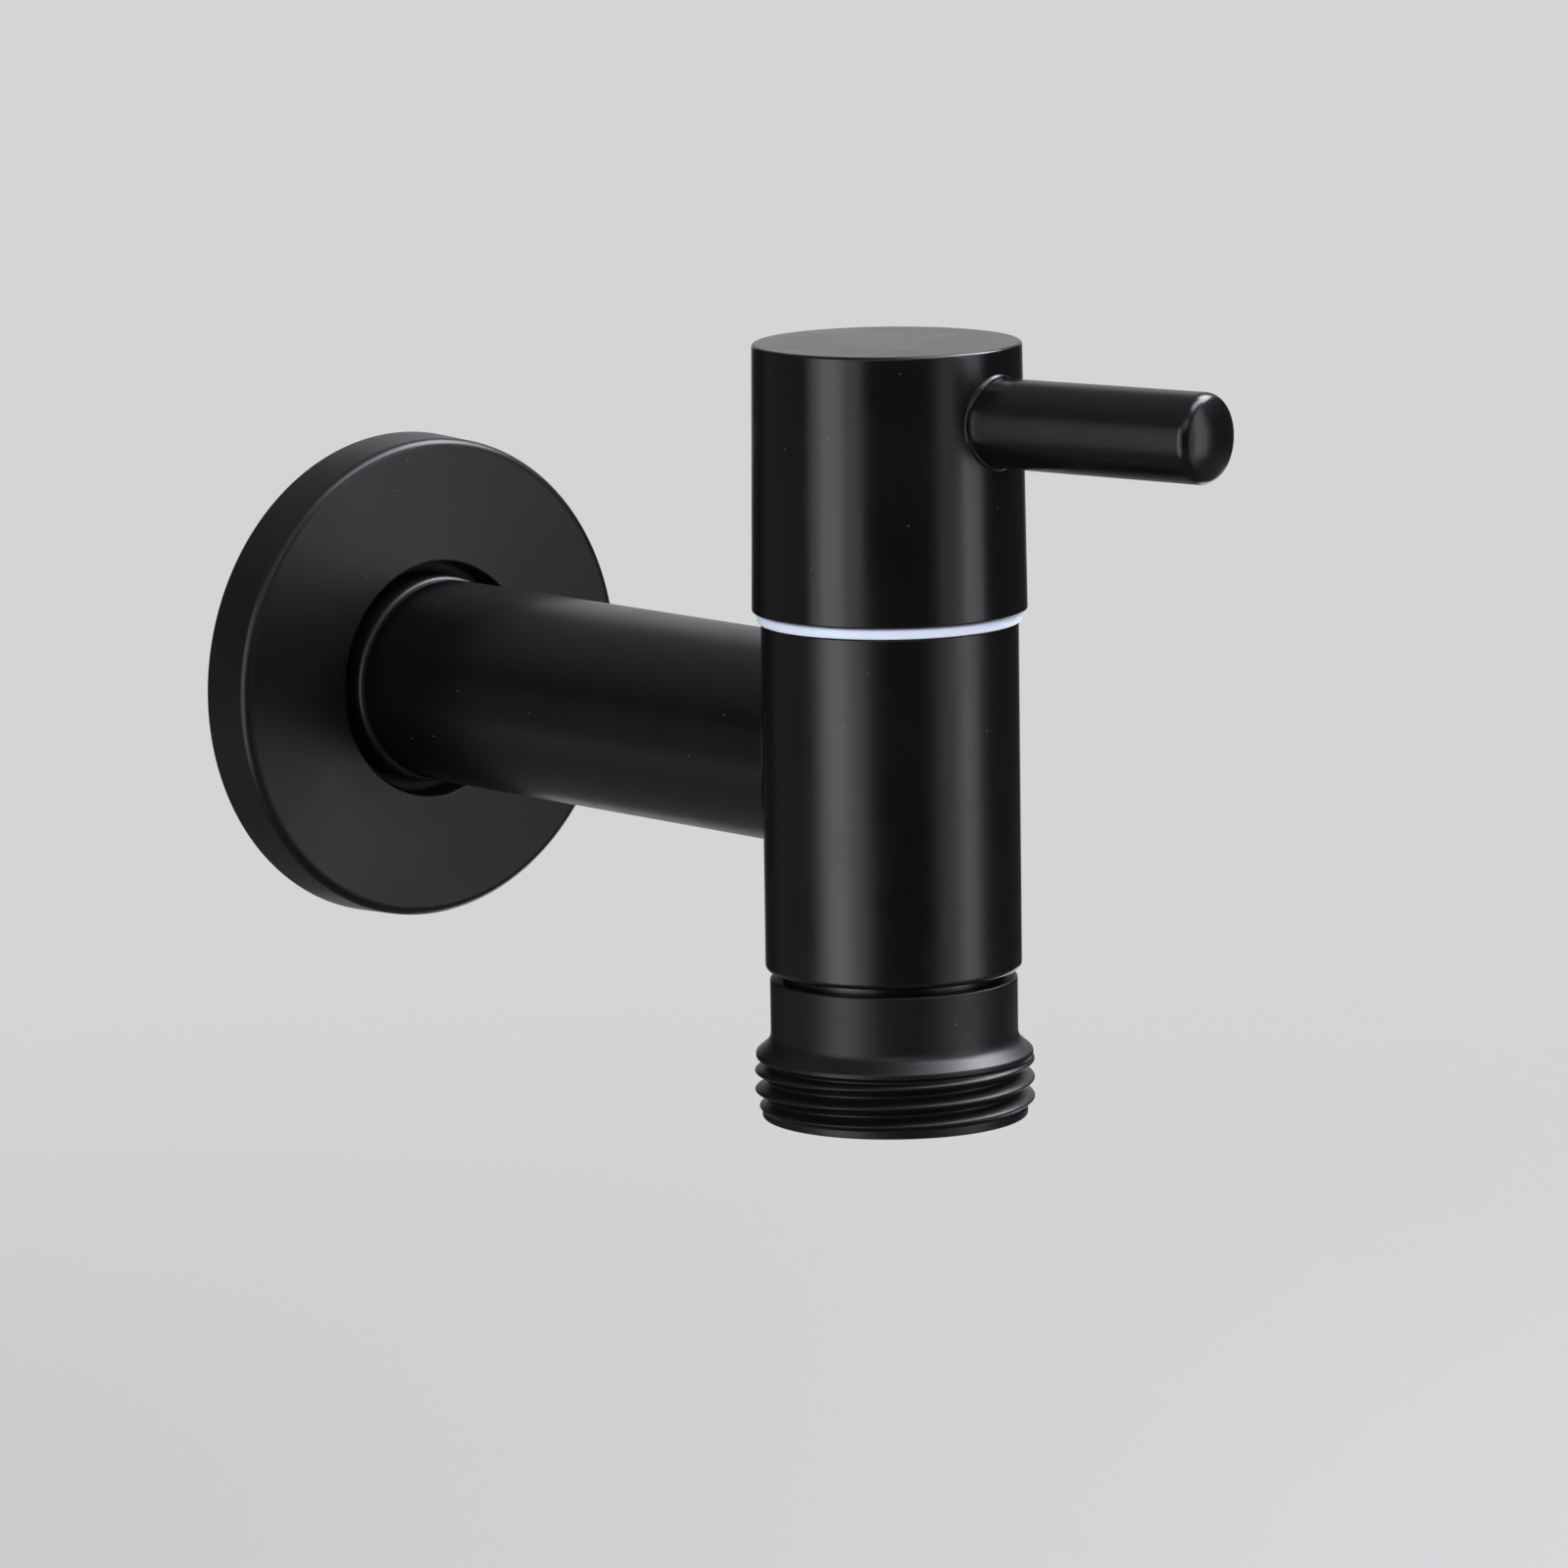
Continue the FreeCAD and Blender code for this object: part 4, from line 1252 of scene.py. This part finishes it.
@dataclass
class Nozzle(Upright):
    """The screwed on outlet: neck, flare, pipe thread and a plain lip."""

    NODE: ClassVar[str] = "outlet_nozzle"

    neck: float = 11.68
    neck_length: float = 5.9
    flare_height: float = 1.2
    flare_land: float = 0.6
    thread_into_land: float = 0.25
    lip: float = 12.55
    lip_height: float = 0.65
    land_drop: float = 0.12
    thread_crest: float = -34.316
    thread_rows: int = 170
    socket: float = 10.5275
    ledge: float = 8.0
    ledge_top: float = -27.45
    pocket: float = 10.4
    pocket_top: float = -28.45
    columns: int = 360

    def shell(self, material: bpy.types.Material) -> None:
        """Make the nozzle, with its thread wound between the flare's land and the lip.

        Args:
            material: its finish.
        """
        land = self.outer - self.land_drop
        flare_top = self.top - self.neck_length
        flare_foot = flare_top - self.flare_height
        ends = (self.foot + self.lip_height, flare_foot - self.flare_land + self.thread_into_land)
        outline = rounded(
            [
                (self.pocket, self.foot, 0.12),
                (self.lip, self.foot, 0.18),
                (self.lip, ends[0], 0.0),
                (land, ends[0], 0.0),
                (land, flare_foot, 0.35),
                (self.neck, flare_top, 1.5),
                (self.neck, self.top, 0.22),
                (self.socket, self.top, 0.1),
                (self.socket, self.ledge_top, 0.0),
                (self.ledge, self.ledge_top, 0.1),
                (self.ledge, self.pocket_top, 0.1),
                (self.pocket, self.pocket_top, 0.0),
            ],
            steps=8,
        )
        on_lip = np.flatnonzero(np.abs(outline[:, 0] - self.lip) < 1e-6)
        on_land = np.flatnonzero(np.abs(outline[:, 0] - land) < 1e-6)
        plain = on_lip[0], on_land[-1]
        rises = np.linspace(*outline[list(plain), 1], self.thread_rows)[1:-1]
        thread = Thread(self.outer, (self.lip, land), ends, self.thread_crest, fade=0.7)
        sheet = Sheet(self.axis.place(*thread.wound(outline, plain, rises, self.columns)))
        Bench.piece("outlet_shell", [sheet], material, Body.FIXED, "black_coat", self.NODE)


@dataclass(frozen=True)
class Lamp:
    """A soft box, placed by how far it stands round from the camera and over the floor's level.

    Bearing and lift are in degrees, seen from the barrel, and bearing grows to the
    picture's right. Distance, width and height are in metres.
    """

    name: str
    bearing: float
    lift: float
    distance: float
    width: float
    height: float
    radiance: float
    colour: Triple = (0.965, 0.955, 1.0)


def stand(thing: bpy.types.Object, axes: np.ndarray, place: np.ndarray) -> None:
    """Put a camera or a lamp in the scene.

    Args:
        thing: the object.
        axes: its own three axes, as columns.
        place: where it stands, in metres.
    """
    bpy.context.scene.collection.objects.link(thing)
    matrix = np.eye(4)
    matrix[:3, :3], matrix[:3, 3] = axes, place
    thing.matrix_world = Matrix(matrix.tolist())


@dataclass
class Studio:
    """Camera, lamps, world and floor, in metres and degrees.

    The focal length and the picture's width are in pixels. The origin is where the arm's
    axis meets the wall: so many millimetres to the camera's right, above and ahead of it.
    """

    target: Triple = (0.0, -0.074, 0.0)
    azimuth: float = -40.88
    elevation: float = 9.34
    roll: float = 0.77
    focal_pixels: float = 9633.56
    picture: float = 1600.0
    sensor: float = 36.0
    origin_mm: Triple = (-38.47, 11.21, 942.24)
    backdrop: Triple = (0.663, 0.663, 0.67)
    sweep_level: float = 0.56
    sweep_lift: float = 13.0
    sweep_edge: float = 0.86
    sweep_middle: float = 0.985
    floor_drop: float = -0.13
    floor_radius: float = 0.62
    floor_tint: Triple = (0.355, 0.356, 0.343)

    def lamps(self) -> tuple[Lamp, ...]:
        """List the lamps.

        A tall strip with a wider, weaker one stands on each side of the camera, and the key
        and a softer box hang above, to the right. The rest are weak: one stands at the left,
        one lights the top from the front, and three light the back.

        Returns:
            The lamps.
        """
        return (
            Lamp("strip_left", -50.0, -3.0, 1.05, 0.38, 1.3, 1.7),
            Lamp("wide_left", -46.0, -3.0, 1.15, 1.02, 1.3, 1.35),
            Lamp("side_left", -104.0, -8.0, 1.1, 0.9, 0.75, 0.11),
            Lamp("strip_right", 74.0, 6.0, 1.05, 0.38, 1.05, 2.0),
            Lamp("wide_right", 57.0, -3.0, 1.15, 0.66, 1.3, 0.75),
            Lamp("key_above", 117.0, 48.0, 1.1, 0.62, 0.55, 14.5, (0.93, 0.91, 1.0)),
            Lamp("soft_above", 72.0, 64.0, 1.1, 0.5, 0.5, 8.0, (0.93, 0.91, 1.0)),
            Lamp("front_above", 0.0, 36.0, 1.2, 0.9, 0.45, 1.3),
            Lamp("back_above", 140.0, 54.0, 1.1, 0.5, 0.4, 3.0),
            Lamp("back_right", 158.0, -32.0, 1.05, 0.36, 0.6, 2.2),
            Lamp("back_left", -172.0, -16.0, 1.05, 0.2, 0.6, 0.4),
        )

    def heading(self, bearing: float, lift: float) -> np.ndarray:
        """Turn a bearing from the camera and a lift, in degrees, into a direction."""
        turn, rise = math.radians(self.azimuth + bearing), math.radians(lift)
        return np.array([math.sin(turn) * math.cos(rise), -math.cos(turn) * math.cos(rise), math.sin(rise)])

    def camera(self) -> None:
        """Stand the camera where the photograph was taken from.

        The camera looks against its own third axis, whose direction follows from azimuth
        and elevation, and is then turned by the roll.
        """
        turn, roll = math.radians(self.azimuth), math.radians(self.roll)
        back = self.heading(0.0, self.elevation)
        right = np.array([math.cos(turn), math.sin(turn), 0.0])
        up = np.cross(back, right)
        rolled_right = math.cos(roll) * right - math.sin(roll) * up
        rolled_up = math.sin(roll) * right + math.cos(roll) * up
        axes = np.stack([rolled_right, rolled_up, back], axis=1)
        data = bpy.data.cameras.new("photo_camera")
        data.sensor_width = self.sensor
        data.lens = self.focal_pixels * self.sensor / self.picture
        data.clip_start, data.clip_end = 0.05, 30.0
        camera = bpy.data.objects.new("photo_camera", data)
        right_of, above, ahead = self.origin_mm
        stand(camera, axes, axes @ np.array([-right_of, -above, ahead]) * MM)
        bpy.context.scene.camera = camera

    def light(self, lamp: Lamp) -> None:
        """Hang one lamp, facing the barrel. Its power is radiance times pi times its area.

        Args:
            lamp: the lamp.
        """
        data = bpy.data.lights.new(lamp.name, "AREA")
        data.shape = "RECTANGLE"
        data.size, data.size_y = lamp.width, lamp.height
        data.energy = lamp.radiance * math.pi * lamp.width * lamp.height
        data.color = lamp.colour
        direction = self.heading(lamp.bearing, lamp.lift)
        side = np.cross((0.0, 0.0, 1.0), direction)
        side /= np.linalg.norm(side)
        axes = np.stack([side, np.cross(direction, side), direction], axis=1)
        made = bpy.data.objects.new(lamp.name, data)
        stand(made, axes, np.array(self.target) + direction * lamp.distance)
        made.visible_camera = False

    def world(self) -> None:
        """Fill the world: a pale backdrop, and a dim room for reflections.

        In reflections the room is dark, apart from a pale sweep behind the tap, which fades
        with the angle from its middle, a dim ceiling and a dim floor.
        """
        world = bpy.data.worlds.new("studio_world")
        world.use_nodes = True
        nodes = Nodes(world.node_tree)
        output = nodes.add("ShaderNodeOutputWorld")
        coords = nodes.add("ShaderNodeTexCoord")
        split = nodes.add("ShaderNodeSeparateXYZ")
        nodes.join(coords, "Generated", split, "Vector")
        half = nodes.add("ShaderNodeMapRange", From_Min=-1.0)
        nodes.join(split, "Z", half, "Value")
        rise = nodes.add("ShaderNodeValToRGB")
        ramp = rise.color_ramp
        stops = ((0.0, 0.12), (0.30, 0.20), (0.40, 0.03), (0.60, 0.02), (0.85, 0.25), (1.0, 0.3))
        while len(ramp.elements) < len(stops):
            ramp.elements.new(0.5)
        for element, (place, level) in zip(ramp.elements, stops):
            element.position = place
            element.color = (level, level, level, 1)
        nodes.join(half, "Result", rise, "Fac")
        facing = nodes.add("ShaderNodeVectorMath", operation="DOT_PRODUCT")
        facing.inputs[1].default_value = tuple(self.heading(180.0, self.sweep_lift))
        nodes.join(coords, "Generated", facing, 0)
        sweep = nodes.add("ShaderNodeMapRange", interpolation_type="SMOOTHSTEP", To_Max=self.sweep_level)
        sweep.inputs["From Min"].default_value = self.sweep_edge
        sweep.inputs["From Max"].default_value = self.sweep_middle
        nodes.join(facing, "Value", sweep, "Value")
        level = nodes.add("ShaderNodeMath")
        nodes.join(rise, "Color", level, 0)
        nodes.join(sweep, "Result", level, 1)
        room = nodes.add("ShaderNodeBackground", Color=(0.97, 0.965, 1.0, 1))
        nodes.join(level, "Value", room, "Strength")
        fill = nodes.add("ShaderNodeBackground", Color=(0.42, 0.42, 0.43, 1))
        pale = nodes.add("ShaderNodeBackground", Color=(*self.backdrop, 1))
        path = nodes.add("ShaderNodeLightPath")
        unseen = nodes.mixed(path, "Is Glossy Ray", fill, room)
        seen = nodes.add("ShaderNodeMath", operation="MAXIMUM")
        nodes.join(path, "Is Camera Ray", seen, 0)
        nodes.join(path, "Is Transmission Ray", seen, 1)
        nodes.join(nodes.mixed(seen, "Value", unseen, pale), 0, output, "Surface")
        bpy.context.scene.world = world

    def floor(self, rings: int = 24, columns: int = 96) -> None:
        """Lay a round pale floor under the tap, clear from below, that fades out at its rim.

        Args:
            rings: number of rings of points, from the middle to the rim.
            columns: number of points in each ring.
        """
        middle = (0.0, self.target[1], self.floor_drop)
        axis = Axis(tuple(place / MM for place in middle), (0, 0, 1), (1, 0, 0))
        outline = np.stack([np.linspace(0.0, self.floor_radius / MM, rings), np.zeros(rings)], axis=1)
        sheet = Sheet(axis.place(*spun(outline, columns)), closed=False)
        mesh = bpy.data.meshes.new("floor")
        mesh.from_pydata(sheet.points.reshape(-1, 3), [], sheet.faces()[:, ::-1])
        nodes = FinishNodes("pale_floor")
        nodes.shader.inputs["Base Color"].default_value = (*self.floor_tint, 1)
        nodes.shader.inputs["Roughness"].default_value = 0.9
        split = nodes.add("ShaderNodeVectorMath", operation="SUBTRACT")
        split.inputs[1].default_value = middle
        nodes.join(nodes.place, "Object", split, 0)
        away = nodes.add("ShaderNodeVectorMath", operation="LENGTH")
        nodes.join(split, "Vector", away, 0)
        fade = nodes.add("ShaderNodeMapRange", interpolation_type="SMOOTHSTEP")
        fade.inputs["From Min"].default_value = 0.25 * self.floor_radius
        fade.inputs["From Max"].default_value = 0.95 * self.floor_radius
        nodes.join(away, "Value", fade, "Value")
        side = nodes.add("ShaderNodeNewGeometry")
        either = nodes.add("ShaderNodeMath", operation="MAXIMUM")
        nodes.join(fade, "Result", either, 0)
        nodes.join(side, "Backfacing", either, 1)
        clear = nodes.add("ShaderNodeBsdfTransparent")
        nodes.join(nodes.mixed(either, "Value", nodes.shader, clear), 0, nodes.output, "Surface")
        mesh.materials.append(nodes.material)
        floor = bpy.data.objects.new("floor", mesh)
        bpy.context.scene.collection.objects.link(floor)
        floor.visible_glossy = False

    def build(self) -> None:
        """Set up the whole studio."""
        self.camera()
        self.world()
        self.floor()
        for lamp in self.lamps():
            self.light(lamp)
        bpy.context.scene.view_settings.view_transform = "Standard"
        LOG.info("studio: %d lamps", len(self.lamps()))


def main() -> None:
    """Build and dress the tap and set up the studio."""
    logging.basicConfig(level=logging.INFO, format="%(name)s: %(message)s")
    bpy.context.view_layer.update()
    finishes = Finishes()
    finishes.dress()
    wall_end = WallEnd.from_frame()
    wall_end.flange(finishes.flange_coat)
    wall_end.nipple(finishes.nozzle_coat)
    Arm.from_frame().tube(finishes.coat)
    Ring.from_frame().band(finishes.ring)
    Barrel.from_frame().shell(finishes.coat)
    Cap.from_frame().shell(finishes.cap_coat)
    Lever.from_frame().bar(finishes.lever_coat)
    Nozzle.from_frame().shell(finishes.nozzle_coat)
    Studio().build()


if __name__ == "__main__":
    main()
